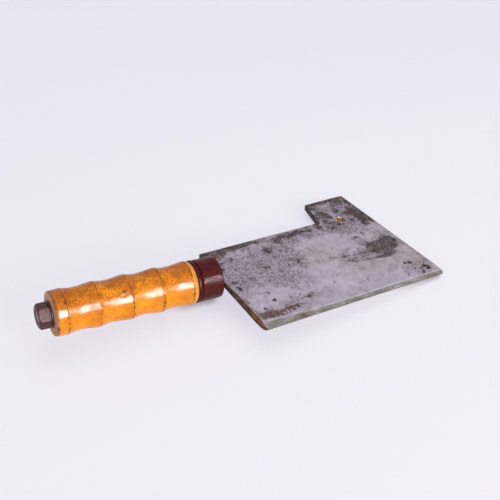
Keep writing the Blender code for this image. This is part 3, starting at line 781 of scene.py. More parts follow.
def wall_colour(m, mid):
    """Side walls: dark brown high up, rusty low on the heel, orange inside the hole."""
    tone = 0.5 + m.wide((240, 240, 500), detail=5, rough=0.7, seed=9.0) * 0.32
    dark = m.ramp(tone, [
        (0.15, (0.018, 0.011, 0.010)), (0.50, (0.052, 0.030, 0.024)),
        (0.85, (0.125, 0.080, 0.062))])
    rust = m.ramp(tone, [
        (0.15, (0.026, 0.012, 0.008)), (0.45, (0.094, 0.038, 0.018)),
        (0.70, (0.190, 0.078, 0.030)), (0.92, (0.300, 0.170, 0.095))])
    low = m.attr("blade_y").step(74.0, 8.0)
    at_heel = m.attr("heel").max(m.attr("heel_band")).step(0.3, 0.7)
    colour = m.mix(dark, tint=rust, by=low * at_heel * mid.step(-0.8, 0.3, to=(0.35, 1.0)))
    x, y, _ = m.axes(m.co)
    hole_x, hole_y = to_tool(HOLE_X, HOLE_Y)
    off_hole = ((x - hole_x * MM) ** 2.0 + (y - hole_y * MM) ** 2.0).sqrt()
    hole = m.ramp(0.5 + m.wide(420, detail=4, rough=0.7, seed=19.0) * 0.35, [
        (0.2, (0.10, 0.042, 0.012)), (0.5, (0.42, 0.20, 0.045)), (0.8, (0.66, 0.40, 0.12))])
    return m.mix(colour, tint=hole, by=off_hole.step(0.0062, 0.0054))


def steel_material():
    m = Material("scrubbed_steel")
    cloud = m.wide(38, detail=5, rough=0.6)
    mid = m.wide(150, detail=5, rough=0.66, seed=2.0)
    fine = m.wide(640, detail=5, rough=0.78, seed=1.0)
    finer = m.wide(1150, detail=4, rough=0.75, seed=5.0)
    grit = m.wide(1900, detail=3, rough=0.6, seed=6.0)
    flake = m.wide(310, detail=5, rough=0.75, seed=7.0)
    scrub = m.wide((70, 1300, 400), detail=4, rough=0.6, turn=math.radians(-3.9))
    cross_scrub = m.wide((900, 110, 400), detail=3, rough=0.6, seed=3.0, turn=math.radians(24))

    # dark dots where the speckle is busy, and ragged patches of patina
    speckle = m.attr("speckle") - m.attr("clean") * 0.55
    busy = (speckle + mid * 0.30).step(0.05, 0.95, to=(0.10, 1.0))
    dots = fine.step(0.02, 0.72)
    small_dots = finer.step(0.10, 0.80)
    ragged = (mid * 0.28 + flake * 0.24) + (fine * 0.22 + finer * 0.12)
    stained = m.attr("patina") + m.attr("rim") * 0.40 - m.attr("clean") * 0.35 + ragged
    patina = stained.step(0.40, 1.05)

    # dirt: 0 clean lilac steel, 1 black patina
    dirt = 0.150 + cloud * 0.060 + mid * 0.062 + scrub * 0.022 + cross_scrub * 0.014
    dirt = dirt + busy * 0.060 + dots * busy * 0.50 + small_dots * busy * 0.42
    dirt = dirt - m.attr("clean") * 0.050 + m.attr("rim") * 0.20
    dirt = dirt + patina * ((0.42 + flake * 0.16) + (fine * 0.19 + finer * 0.17))
    dirt = dirt + m.attr("patina").step(0.10, 0.9) * 0.12
    base = m.ramp(dirt, [
        (0.02, (0.575, 0.508, 0.585)), (0.16, (0.462, 0.406, 0.468)),
        (0.34, (0.318, 0.274, 0.310)), (0.55, (0.180, 0.140, 0.150)),
        (0.76, (0.098, 0.069, 0.067)), (0.97, (0.038, 0.024, 0.022))])
    tanned = m.attr("tan") * (1.0 - patina) * mid.step(-0.6, 0.8, to=(0.25, 0.62))
    base = m.mix(base, tint=(0.375, 0.330, 0.285), by=tanned)

    # bevel, with a bright line along its upper border: worn steel, painted lighter to stand also for
    # the shoulder's highlight
    bevel = m.attr("bevel")
    base = m.mix(base, tint=bevel_colour(m, mid, fine), by=bevel * 0.94)
    shoulder_wear_and_highlight = m.attr("shoulder") * fine.step(-0.7, 0.4, to=(0.15, 0.85))
    base = m.mix(base, tint=(0.66, 0.63, 0.66), by=shoulder_wear_and_highlight)

    # rust and pits
    rust = (m.attr("rust") + ragged * 1.1).step(0.30, 0.95)
    rust_colour = m.ramp(0.5 + m.wide(480, detail=5, rough=0.75, seed=8.0) * 0.34, [
        (0.12, (0.022, 0.012, 0.009)), (0.42, (0.064, 0.034, 0.023)),
        (0.68, (0.125, 0.066, 0.038)), (0.92, (0.260, 0.165, 0.105))])
    base = m.mix(base, tint=rust_colour, by=rust * 0.85)
    pit = (m.attr("pit") + fine * 0.25).step(0.22, 0.80, to=(0, 0.93))
    base = m.mix(base, tint=(0.034, 0.020, 0.026), by=pit)

    side = m.attr("wall").max(m.attr("heel_band"))
    base = m.mix(base, tint=wall_colour(m, mid), by=side * 0.96)

    # bare line along the heel's upper arris, brown beside it
    arris = m.attr("heel_arris") * (mid + fine * 0.6).step(-0.9, 0.2)
    base = m.mix(base, tint=(0.300, 0.285, 0.245), by=m.attr("heel_side") * 0.62)
    arris_share = m.attr("blade_y").step(60.0, 6.0, to=(0.30, 0.85))
    base = m.mix(base, tint=(0.50, 0.465, 0.42), by=arris * arris_share)
    beside = m.attr("heel_side") * (mid * 0.7 + fine * 0.8).step(0.0, 0.8)
    base = m.mix(base, tint=(0.115, 0.060, 0.034), by=beside * 0.62)

    dull = (patina * 0.9).max((rust * 0.9).max((side * 0.9).max(pit * 0.9)))
    height = fine * -0.045 + scrub * 0.022 + grit * 0.016 - dots * busy * 0.30 - patina * 0.25
    return m.surface(
        base_color=base,
        roughness=m.blend(0.46 + (fine + cloud) * 0.04, 0.36, by=bevel) + dull * 0.14,
        metallic=m.blend(m.blend(0.80, 0.55, by=dots * busy), 0.10, by=dull),
        normal=m.bump(height, strength=0.75, distance=0.00016),
        specular_ior_level=0.5 - dull * 0.38)


# ------------------------------------------------------------------ grip
GRIP_LENGTH, GRIP_BORE = 109.6, 5.3
FIRST_CREST, CREST_PITCH, CRESTS = 8.7, 24.15, 5
CREST_R, GROOVE = 17.15, 1.32
GROOVE_PLACE = 0.43                      # deepest point of a hollow, share of the pitch
BUTT_R, BUTT_CHAMFER, CHAMFER_R = 15.9, 2.1, 16.85
FRONT_R = 15.9
RING_X = [FIRST_CREST + CREST_PITCH * i for i in range(CRESTS)]
KNOT_X, KNOT_RISE, KNOT_R = 51.9, 52.0, 16.2    # rise in degrees from the cutting-edge side
# knocks in the wood: x, lathe angle in degrees, radius, depth
KNOCKS = [
    (50.8, 49, 1.5, 0.5), (53.0, 45, 1.0, 0.25), (9.3, -2, 1.1, 0.35), (31.5, 24, 0.9, 0.2),
    (56.0, -1, 1.2, 0.35), (57.2, 6, 0.9, 0.3), (82.5, 40, 0.9, 0.2), (104.4, 78, 1.1, 0.3),
    (70.5, -20, 1.3, 0.25), (15.0, 120, 1.4, 0.3), (64.0, 150, 1.6, 0.3), (95.0, 200, 1.8, 0.35),
    (40.0, 230, 1.5, 0.3), (22.0, 285, 1.3, 0.3), (88.0, 310, 1.4, 0.3),
]


def grip_radius(x):
    if x < BUTT_CHAMFER:
        return BUTT_R + (CHAMFER_R - BUTT_R) * math.sqrt(x / BUTT_CHAMFER)
    if x <= FIRST_CREST:
        t = (x - BUTT_CHAMFER) / (FIRST_CREST - BUTT_CHAMFER)
        return CHAMFER_R + (CREST_R - CHAMFER_R) * t
    last = RING_X[-1]
    if x >= last:
        t = (x - last) / (GRIP_LENGTH - last)
        return CREST_R - (CREST_R - FRONT_R) * t ** 1.8
    share = ((x - FIRST_CREST) / CREST_PITCH) % 1.0
    warp = share ** (math.log(0.5) / math.log(GROOVE_PLACE))
    return CREST_R - GROOVE * math.sin(math.pi * warp) ** 1.42


def grip_relief(x, r, angle):
    """Unevenness, broken scribed rings and knocks on the outside."""
    if r < 15.0:
        return 0.0
    relief = 0.055 * skin_lumps(21.0 * 0 + x, angle, 21.0) + 0.020 * skin_lumps(x + 50, angle, 4.5)
    relief += 0.010 * skin_lumps(x * 0.25 + 90, angle, 1.3)
    if x > 0.5:
        for ring_x in RING_X:
            if abs(x - ring_x) < 1.2:
                wobble = 0.16 * lumps(math.cos(angle) * 6, math.sin(angle) * 6, ring_x, 5.0)
                keep = smoothstep(0.62 + skin_lumps(ring_x, angle, 3.2) * 0.9, 0.15, 0.75)
                cut = math.exp(-((x - ring_x - wobble) / 0.26) ** 2)
                relief -= 0.24 * (0.35 + 0.65 * float(keep)) * cut
    for knock_x, degrees, radius, depth in KNOCKS:
        turn = (angle - math.radians(degrees) + math.pi) % TAU - math.pi
        q = math.hypot((x - knock_x) / radius, turn * 17 / radius)
        if q < 1:
            relief -= depth * (1 - q * q)
    return relief


def build_grip(material):
    stations = []
    x = 0.12
    while x < GRIP_LENGTH - 0.1:
        stations.append(x)
        near = min(abs(x - ring_x) for ring_x in RING_X)
        if near < 0.75:
            x += 0.14
        elif near < 1.6 or x < 3.0 or x > GRIP_LENGTH - 1.5:
            x += 0.3
        else:
            x += 0.62
    stations.append(GRIP_LENGTH - 0.05)
    profile = [(0.0, GRIP_BORE), (0.0, 9.0), (0.0, 12.5), (0.0, 15.2), (0.02, 15.6)]
    profile += [(x, grip_radius(x)) for x in stations]
    profile += [(GRIP_LENGTH, FRONT_R - 0.35), (GRIP_LENGTH, 11.0), (GRIP_LENGTH, GRIP_BORE)]
    profile += [(GRIP_LENGTH * 0.66, GRIP_BORE), (GRIP_LENGTH * 0.33, GRIP_BORE)]
    verts, faces = lathe(profile, 200, grip_relief)
    make("grip_wood", verts, faces, material, "grip", smooth=38.0)


def wood_figure(m, growth, fibre, mottle, blotch, high):
    """Orange wood with growth layers, fibres and darker patches, more so on the upper side."""
    tone = m.wide(26, detail=3, rough=0.55, seed=7.0)
    streak = m.wide((16, 330, 330), detail=4, rough=0.6)
    colour = m.ramp(0.5 + tone * 0.3, [
        (0.2, (0.80, 0.235, 0.0030)), (0.5, (0.89, 0.295, 0.0040)),
        (0.8, (0.95, 0.350, 0.0060))])
    layer = (growth * (1000.0 / 1.35)).fract()
    late = layer.step(0.30, 0.90) * layer.step(1.0, 0.92)
    worn_low = m.wide(66, detail=4, rough=0.66, seed=20.0).step(0.05, 0.75)
    patchy = m.wide(58, detail=3, rough=0.6, seed=19.0).step(0.10, 0.70)
    for tint, share in (
            ((0.60, 0.130, 0.0025), late * streak.step(-0.7, 0.8, to=(0.18, 0.75))),
            ((0.50, 0.105, 0.0025), fibre.step(0.05, 0.95, to=(0, 0.42))),
            ((0.42, 0.088, 0.0030), mottle.step(0.10, 0.85) * high.lin(0, 1, to=(0.14, 0.46))),
            ((0.98, 0.46, 0.020), mottle.step(-0.15, -0.85, to=(0, 0.30))),
            ((0.56, 0.150, 0.0040), worn_low * high.lin(0, 1, to=(0.30, 0.10))),
            ((0.48, 0.105, 0.0040), blotch.step(0.0, 0.8) * high.lin(0, 1, to=(0.10, 0.50))),
            ((0.38, 0.085, 0.0045), patchy * high.lin(0, 1, to=(0.05, 0.32)))):
        colour = m.mix(colour, tint, by=share)
    return colour


def wood_top_shade_and_grime(m, colour, up, mottle):
    """Painted shade on the upper side, darker and browner, mixed with ragged grime; and specks of
    dirt.
    """
    ragged = m.wide(75, detail=4, rough=0.62, seed=9.0) * 0.28 + mottle * 0.16
    # painted shade of the upper side, broken up by ragged grime
    top_shade_and_grime = (up + ragged).step(0.35, 1.25, to=(0, 0.52))
    colour = m.mix(colour, tint=(0.235, 0.060, 0.0065), by=top_shade_and_grime)
    cells = m.add("TexVoronoi", {"Vector": m.co, "Scale": 380}, output="Distance")
    specks = (cells.step(0.26, 0.08)
              * m.wide(85, detail=3, rough=0.5, seed=11.0).step(-0.15, 0.6))
    small_specks = m.wide(900, detail=4, rough=0.7, seed=12.0).step(0.42, 0.90)
    dirt = specks.max(small_specks * up.step(-0.5, 0.9, to=(0.10, 1.0)))
    return m.mix(colour, tint=(0.100, 0.024, 0.004), by=dirt * 0.72)


def wood_rings(m, colour, x, blotch):
    """Painted shade: deeper, darker orange on the rising sides of the hollows, which face away from
    the light; and thin, dark, broken scribed rings; returns the colour and the ring lines."""
    share = ((x - FIRST_CREST * MM) / (CREST_PITCH * MM)).fract()
    inside = (x.step(FIRST_CREST * MM, (FIRST_CREST + 0.8) * MM)
              * x.step((RING_X[-1] + 0.2) * MM, (RING_X[-1] - 0.2) * MM))
    # painted shade on the rising side of each hollow, which turns away from the light
    rising_side_shade = share.step(0.42, 0.80) * share.step(1.0, 0.97) * inside
    colour = m.mix(colour, tint=(0.46, 0.110, 0.004),
                   by=rising_side_shade * blotch.step(-0.8, 0.6, to=(0.10, 0.34)))
    lines, smuts = [], []
    for ring_x in RING_X:
        wobble = m.wide(170, detail=2, rough=0.5, seed=ring_x) * 0.00010
        lines.append(abs(x + wobble - ring_x * MM).step(0.00050, 0.00016))
        smuts.append(abs(x - ring_x * MM).step(0.0028, 0.0002))
    broken = m.wide(260, detail=4, rough=0.7, seed=21.0).step(-0.35, 0.35, to=(0.12, 1.0))
    dark_line = reduce(Signal.max, lines) * broken
    smut = (reduce(Signal.max, smuts)
            * m.wide(330, detail=4, rough=0.72, seed=23.0).step(0.05, 0.75))
    colour = m.mix(colour, tint=(0.13, 0.034, 0.006), by=smut * 0.72)
    return m.mix(colour, tint=(0.022, 0.008, 0.005), by=dark_line * 0.95), dark_line


def wood_ends(m, colour, x, y, z, radius, growth):
    """Pale worn shoulder at the front, brown rim and bare end grain at the butt, with painted shade
    on the end face towards its bottom and the cutting-edge side; returns the colour, the rim and the
    end face."""
    shoulder = x.step((RING_X[-1] + 0.5) * MM, (RING_X[-1] + 1.3) * MM)
    wear = m.wide(150, detail=4, rough=0.66, seed=31.0).step(-0.9, 0.5, to=(0.30, 0.85))
    colour = m.mix(colour, tint=(0.80, 0.325, 0.065), by=shoulder * wear)
    front = x.step((GRIP_LENGTH - 1.3) * MM, (GRIP_LENGTH - 0.5) * MM)
    colour = m.mix(colour, tint=(0.42, 0.20, 0.080), by=front * 0.8)

    rim = x.step(2.5 * MM, 1.7 * MM) * x.step(-0.1 * MM, 0.05 * MM)
    rim_colour = m.ramp(0.5 + m.wide(300, detail=4, rough=0.75, seed=33.0) * 0.33, [
        (0.15, (0.11, 0.038, 0.016)), (0.5, (0.28, 0.105, 0.038)), (0.85, (0.52, 0.25, 0.10))])
    colour = m.mix(colour, tint=rim_colour, by=rim * 0.90)

    face = x.step(0.12 * MM, 0.03 * MM) * radius.step(0.01605, 0.0154)
    layers = (growth * (1000.0 / 1.5)).fract()
    grain = m.wide(420, detail=4, rough=0.75, seed=35.0)
    face_colour = m.ramp(0.35 + layers * 0.22 + grain * 0.20, [
        (0.15, (0.29, 0.130, 0.075)), (0.5, (0.68, 0.37, 0.25)), (0.85, (0.82, 0.56, 0.40))])
    # painted shade: the end face darkens towards its bottom and the cutting-edge side
    lower_face_shade = (z * -40.0 + y * -20.0).step(-0.3, 0.8, to=(0.0, 0.62))
    face_colour = m.mix(face_colour, tint=(0.30, 0.125, 0.050), by=lower_face_shade)
    return m.mix(colour, tint=face_colour, by=face), rim, face


def wood_material():
    m = Material("varnished_wood")
    x, y, z = m.axes(m.co)
    # growth layers round an offset centre give lengthwise figure on the turned surface
    off_y, off_z = y - 0.030, z + 0.040
    growth = (off_y * off_y + off_z * off_z).sqrt() + x * 0.62
    growth = growth + m.wide(30, detail=3, rough=0.5, seed=2.0) * 0.00022
    growth = growth + m.wide((14, 60, 60), detail=3, rough=0.5) * 0.00030
    fibre = m.wide((45, 1500, 1500), detail=5, rough=0.65)
    mottle = m.wide(400, detail=5, rough=0.75, seed=17.0)
    blotch = m.wide(120, detail=4, rough=0.66, seed=18.0)
    radius = (y * y + z * z).sqrt()
    up = (z + y * 0.30) / radius.max(0.001)

    colour = wood_figure(m, growth, fibre, mottle, blotch, high=up.step(-0.2, 0.9))
    colour = wood_top_shade_and_grime(m, colour, up, mottle)
    colour, dark_line = wood_rings(m, colour, x, blotch)
    rise = math.radians(KNOT_RISE)
    knot_at = (KNOT_X * MM, -math.cos(rise) * KNOT_R * MM, math.sin(rise) * KNOT_R * MM)
    knot = (m.distance(knot_at) + mottle * 0.0004).step(0.0018, 0.0006)
    colour = m.mix(colour, tint=(0.070, 0.022, 0.008), by=knot * 0.85)
    colour, rim, face = wood_ends(m, colour, x, y, z, radius, growth)
    # light thrown onto the floor by the wood is kept faint
    thrown = m.add("LightPath", output="Is Diffuse Ray")
    colour = m.mix(colour, tint=(0.30, 0.22, 0.20), by=thrown * 0.45)

    bare = (face * 0.95).max(rim * 0.5).max(dark_line * 0.8)
    scuff = m.wide(95, detail=5, rough=0.65, seed=41.0).step(0.0, 1.0)
    crackle = mottle.step(0.25, 0.90)
    coat = (1.0 - bare) * (1.0 - (scuff * 0.40).max(crackle * 0.55))
    # turning marks run round the grip and break up its highlights
    turned = m.wide((900, 130, 130), detail=4, rough=0.7, seed=49.0)
    height = m.wide(230, detail=4, rough=0.6, seed=43.0) * 0.060 + fibre * 0.030
    gloss = m.wide(260, detail=4, rough=0.62, seed=43.0) * 0.120 + turned * 0.105
    gloss = gloss + m.wide(640, detail=4, rough=0.65, seed=47.0) * 0.035
    return m.surface(
        base_color=colour, roughness=fibre.lin(-1, 1, to=(0.45, 0.62)), metallic=0.0,
        normal=m.bump(height, strength=0.55, distance=0.00022),
        coat_weight=coat, coat_roughness=scuff.lin(0, 1, to=(0.13, 0.24)), coat_ior=1.28,
        coat_normal=m.bump(gloss, strength=0.65, distance=0.00024), specular_ior_level=0.05)


# ------------------------------------------------------------------ bolster, collar, welds
BOLSTER_REAR, BOLSTER_FRONT, BOLSTER_R = 113.0, 130.9, 16.5
SOCKET_DEPTH, SOCKET_R = 8.4, 5.15             # bore for the rod, from the rear
SLOT_DEPTH, SLOT_WIDTH, SLOT_HEIGHT = 8.2, 20.6, 5.1
CUTTER_LENGTH = 20.0
COLLAR_REAR, COLLAR_FRONT, COLLAR_R, COLLAR_BORE = 109.95, 112.65, 16.75, 5.3
WELD_HALF, WELD_LEG, WELD_LUMPS = 10.0, 2.95, 8.0
WELD_STEPS, WELD_ARC_STEPS = 150, 14
WELD_OFFSET = 0.3                              # root clear of the bolster and of the blade
# bare chips in the bolster's paint: x, y, z, radius
BOLSTER_CHIPS = [(128.6, 9.2, 13.6, 2.4), (129.8, 5.4, 15.2, 1.7),
                 (130.2, 11.5, 11.2, 1.6), (129.0, -9.0, -13.5, 2.0)]


def paint_material(name, dark, light, coat, chips=()):
    m = Material(name)
    tone = m.wide(85, detail=4, rough=0.6)
    peel = m.wide(430, detail=3, rough=0.6, seed=1.0)
    fine = m.wide(1500, detail=3, rough=0.6, seed=2.0)
    colour = m.ramp(0.5 + (tone * 0.22 + peel * 0.12), [(0.2, dark), (0.8, light)])
    pale_specks = m.wide(650, detail=5, rough=0.75, seed=3.0).step(0.55, 1.1, to=(0, 0.45))
    colour = m.mix(colour, tint=(0.16, 0.055, 0.045), by=pale_specks)
    dark_specks = m.wide(520, detail=4, rough=0.7, seed=4.0).step(0.35, 1.0, to=(0, 0.60))
    colour = m.mix(colour, tint=(0.022, 0.005, 0.005), by=dark_specks)
    # grains in the gloss split the highlight
    coat_weight = m.wide(760, detail=4, rough=0.7, seed=27.0).step(-0.30, 0.35, to=(0.12, 1.0)) * coat
    if chips:
        bare = reduce(Signal.max, [
            (m.distance((chip_x * MM, chip_y * MM, chip_z * MM))
             + m.wide(620, detail=4, rough=0.75, seed=9.0) * 0.0013
             ).step(radius * 1.10 * MM, radius * 0.70 * MM)
            for chip_x, chip_y, chip_z, radius in chips])
        metal = m.ramp(0.5 + m.wide(900, detail=4, rough=0.75, seed=12.0) * 0.32, [
            (0.2, (0.10, 0.035, 0.018)), (0.5, (0.27, 0.14, 0.065)), (0.8, (0.46, 0.34, 0.22))])
        colour = m.mix(colour, tint=metal, by=bare * 0.9)
        coat_weight = (1.0 - bare) * coat_weight
    worn = (m.edge(radius=0.0006, samples=4).step(0.02, 0.12)
            * m.wide(380, detail=4, rough=0.7, seed=15.0).step(-0.3, 0.6))
    colour = m.mix(colour, tint=(0.30, 0.17, 0.15), by=worn * 0.60)
    # runs in the paint go round the part
    runs = m.wide((520, 900, 900), detail=4, rough=0.65, seed=21.0)
    gloss = peel * 0.030 + (runs * 0.060 + fine * 0.030)
    return m.surface(
        base_color=colour, roughness=0.48, metallic=0.0,
        normal=m.bump(peel * 0.05 + fine * 0.012, strength=0.8, distance=0.00026),
        coat_weight=coat_weight, coat_roughness=0.07, coat_ior=1.30,
        coat_normal=m.bump(gloss, strength=1.0, distance=0.00036), specular_ior_level=0.03)


def build_bolster(material):
    rear, front, outer = BOLSTER_REAR, BOLSTER_FRONT, BOLSTER_R
    socket_end = rear + SOCKET_DEPTH
    profile = [(socket_end, 0.02), (socket_end, SOCKET_R), (rear, SOCKET_R)]
    profile += [(rear, 9.0), (rear, 13.0)]
    profile += arc(rear + 0.35, outer - 1.45, 0.35, 180, 135, 3)
    profile += arc(rear + 1.25, outer - 0.5, 0.5, 135, 90, 4)
    profile += [(x, outer) for x in np.arange(rear + 1.9, front - 1.5, 0.55)]
    profile += arc(front - 1.3, outer - 1.3, 1.3, 90, 0, 9)
    profile += [(front, r) for r in (13.5, 11.0, 8.0, 4.0, 0.02)]

    def relief(x, r, angle):
        if r < 14.5:
            return 0.0
        return 0.045 * skin_lumps(x, angle, 9.0) + 0.028 * skin_lumps(x + 30, angle, 2.4) - 0.03

    verts, faces = lathe(profile, 160, relief)
    obj = make("bolster_body", verts, faces, material, "bolster", smooth=45.0)
    # slot for the blade's tongue
    bm = bmesh.new()
    bmesh.ops.create_cube(bm, size=1.0)
    bmesh.ops.scale(bm, vec=(CUTTER_LENGTH, SLOT_WIDTH, SLOT_HEIGHT), verts=bm.verts)
    bmesh.ops.translate(bm, vec=(front - SLOT_DEPTH + CUTTER_LENGTH / 2, 0, 0), verts=bm.verts)
    cutter = solid_from_bm(bm, "slot_cutter")
    cutter.matrix_world = obj.matrix_world
    mesh = boolean_mesh(obj, [("DIFFERENCE", cutter)])
    obj.modifiers.clear()
    mesh.name = "bolster_body"
    obj.data = mesh


def build_collar(material):
    rear, front, outer = COLLAR_REAR, COLLAR_FRONT, COLLAR_R
    profile = [(rear, COLLAR_BORE), (rear, 10.0), (rear, 14.5)]
    profile += arc(rear + 0.7, outer - 0.7, 0.7, 180, 90, 6)
    profile += arc(front - 0.9, outer - 0.9, 0.9, 90, 0, 7)
    profile += [(front, 14.0), (front, 10.0), (front, COLLAR_BORE), (front - 1.3, COLLAR_BORE)]

    def relief(x, r, angle):
        return 0.0 if r < 14.6 else 0.04 * skin_lumps(x, angle, 6.0) - 0.03

    verts, faces = lathe(profile, 160, relief)
    make("front_collar_ring", verts, faces, material, "front_collar", smooth=45.0)


def build_weld(name, node, side, material):
    """Rippled fillet across the blade at the bolster's front; side is 1 above, -1 below."""
    root_x, root_z = BOLSTER_FRONT + WELD_OFFSET, HALF + WELD_OFFSET
    verts, faces = [], []
    for i in range(WELD_STEPS + 1):
        y = -WELD_HALF + 2 * WELD_HALF * i / WELD_STEPS
        ripple = math.sin(math.pi * ((y + WELD_HALF) / (2 * WELD_HALF) * WELD_LUMPS % 1.0))
        lump = 0.93 + 0.085 * ripple ** 0.7 + 0.02 * lumps(y, side * 3, 0, 2.0)
        taper = math.sqrt(max(0.0, 1.0 - (abs(y) / (WELD_HALF + 0.15)) ** 8))
        leg = WELD_LEG * lump * (0.35 + 0.65 * taper)
        verts.append((root_x, y, side * root_z))
        for k in range(WELD_ARC_STEPS + 1):
            angle = math.radians(90.0 * k / WELD_ARC_STEPS)
            bow = 0.225 * ripple * math.sin(2 * angle)
            swell = (1.0 - 0.15 * math.sin(2 * angle)
                     + 0.018 * lumps(y * 1.5, angle * 5, side, 1.0))
            verts.append((root_x + leg * swell * math.cos(angle), y + bow,
                          side * (root_z + leg * swell * math.sin(angle))))
    size = WELD_ARC_STEPS + 2
    for i in range(WELD_STEPS):
        for k in range(size):
            n = (k + 1) % size
            faces.append((i * size + k, i * size + n, (i + 1) * size + n, (i + 1) * size + k))
    faces.append(tuple(range(size)))
    faces.append(tuple(reversed(range(WELD_STEPS * size, (WELD_STEPS + 1) * size))))
    make(name, verts, faces, material, node, smooth=60.0)


def weld_material():
    m = Material("weld_metal")
    tone = m.noise(420, detail=5, rough=0.7)
    colour = m.ramp(tone, [
        (0.34, (0.035, 0.014, 0.012)), (0.52, (0.085, 0.034, 0.026)), (0.70, (0.21, 0.11, 0.06))])
    height = m.noise(900, detail=4, rough=0.65, seed=2.0)
    return m.surface(
        base_color=colour, roughness=0.48, metallic=tone.step(0.5, 0.7, to=(0.1, 0.55)),
        normal=m.bump(height, strength=0.8, distance=0.0003),
        coat_weight=0.4, coat_roughness=0.3)


# ------------------------------------------------------------------ rod, washer, nut
PITCH, THREAD_H, ROD_CREST, THREAD_GAP = 1.5, 0.81, 4.85, 0.30
ROD_END, THREAD_END, SHANK_R = -9.5, 4.0, 4.7
SHANK_FRONT = BOLSTER_REAR + SOCKET_DEPTH - 0.3
FLATS = 17.0                            # across the nut's flats
NUT_TURN = 50.8                         # degrees to its first corner
WASHER_REAR, WASHER_FRONT, WASHER_BORE, WASHER_R = -1.35, -0.30, 5.25, 10.2
THREAD_SEGMENTS = 56
# thread section: share of the pitch, share of the thread height
THREAD_SHAPE = ((0.0, 0.0), (0.03, -0.02), (0.22, -0.02), (0.25, 0.0), (0.40, 0.48),
                (0.5625, 0.96), (0.59, 1.0), (0.66, 1.0), (0.6875, 0.96), (0.84, 0.48))


def helix(x0, x1, crest, limit):
    """Right-hand threaded solid from x0 to x1; limit(x, r) trims the radius."""
    per, segments = len(THREAD_SHAPE), THREAD_SEGMENTS
    start = x0 - 2.0 * PITCH
    start -= start % PITCH
    turns = int(math.ceil((x1 - x0) / PITCH)) + 5
    bm = bmesh.new()
    grid = []
    for turn in range(turns + 1):
        for share, height in THREAD_SHAPE:
            row = []
            for i in range(segments):
                angle = TAU * i / segments
                x = start + PITCH * (turn + share + i / segments)
                r = limit(x, crest - THREAD_H * (1.0 - height))
                row.append(bm.verts.new((x, r * math.cos(angle), r * math.sin(angle))))
            grid.append(row)
    for j in range(len(grid) - 1):
        for i in range(segments):
            if i < segments - 1:
                ring = (grid[j][i], grid[j][i + 1], grid[j + 1][i + 1], grid[j + 1][i])
            elif j + per + 1 < len(grid):
                # the last column joins the next turn
                ring = (grid[j][i], grid[j + per][0], grid[j + per + 1][0], grid[j + 1][i])
            else:
                continue
            bm.faces.new(ring)
    for x, sign in ((x0, -1.0), (x1, 1.0)):
        bmesh.ops.bisect_plane(bm, geom=bm.verts[:] + bm.edges[:] + bm.faces[:], dist=1e-5,
                               plane_co=(x, 0, 0), plane_no=(sign, 0, 0), clear_outer=True)
    for x in (x0, x1):
        rim = [e for e in bm.edges
               if e.is_boundary and all(abs(v.co.x - x) < 1e-3 for v in e.verts)]
        bmesh.ops.edgeloop_fill(bm, edges=rim)
    bmesh.ops.recalc_face_normals(bm, faces=bm.faces)
    return bm


def solid_from_bm(bm, name):
    bmesh.ops.scale(bm, vec=(MM, MM, MM), verts=bm.verts)
    mesh = bpy.data.meshes.new(name)
    bm.to_mesh(mesh)
    bm.free()
    return link_object(name, mesh)


def turned_solid(profile, segments, name):
    verts, faces = lathe(profile, segments)
    bm = bmesh.new()
    made = [bm.verts.new(v) for v in verts]
    for face in faces:
        bm.faces.new([made[i] for i in face])
    bmesh.ops.remove_doubles(bm, verts=bm.verts, dist=1e-4)
    bmesh.ops.recalc_face_normals(bm, faces=bm.faces)
    return solid_from_bm(bm, name)


def boolean_mesh(base, steps):
    """Mesh of a chain of (operation, other object) booleans; the others are removed."""
    for operation, other in steps:
        mod = base.modifiers.new(other.name, "BOOLEAN")
        mod.operation, mod.solver, mod.object = operation, "EXACT", other
    bpy.context.view_layer.update()
    depsgraph = bpy.context.evaluated_depsgraph_get()
    mesh = bpy.data.meshes.new_from_object(base.evaluated_get(depsgraph))
    for _, other in steps:
        bpy.data.objects.remove(other)
    return mesh


def combined(base, steps, name):
    """Cut mesh, with near-equal points welded and the slivers between them dropped."""
    mesh = boolean_mesh(base, steps)
    bpy.data.objects.remove(base)
    bm = bmesh.new()
    bm.from_mesh(mesh)
    bmesh.ops.triangulate(bm, faces=bm.faces[:])
    for _ in range(3):
        bmesh.ops.remove_doubles(bm, verts=bm.verts[:], dist=0.002 * MM)
        bmesh.ops.dissolve_degenerate(bm, edges=bm.edges[:], dist=0.002 * MM)
        bmesh.ops.triangulate(bm, faces=bm.faces[:])
    bmesh.ops.delete(bm, geom=[v for v in bm.verts if not v.link_faces], context="VERTS")
    bm.to_mesh(mesh)
    bm.free()
    mesh.name = name
    return mesh


def build_rod(material):
    def limit(x, r):
        return min(r, 4.15 + max(0.0, x - ROD_END))

    thread = solid_from_bm(helix(ROD_END, THREAD_END, ROD_CREST, limit), "rod_thread")
    profile = [(THREAD_END - 1.0, 0.0), (THREAD_END - 1.0, SHANK_R - 1.0), (THREAD_END, SHANK_R)]
    profile += [(x, SHANK_R) for x in np.arange(8.0, SHANK_FRONT - 2.0, 6.0)]
    profile += [(SHANK_FRONT - 0.8, SHANK_R), (SHANK_FRONT, SHANK_R - 0.8), (SHANK_FRONT, 0.0)]
    shank = turned_solid(profile, 56, "rod_shank")
    mesh = combined(thread, [("UNION", shank)], "rod_body")
    place("rod_body", mesh, material, "tang_rod", smooth=40.0)


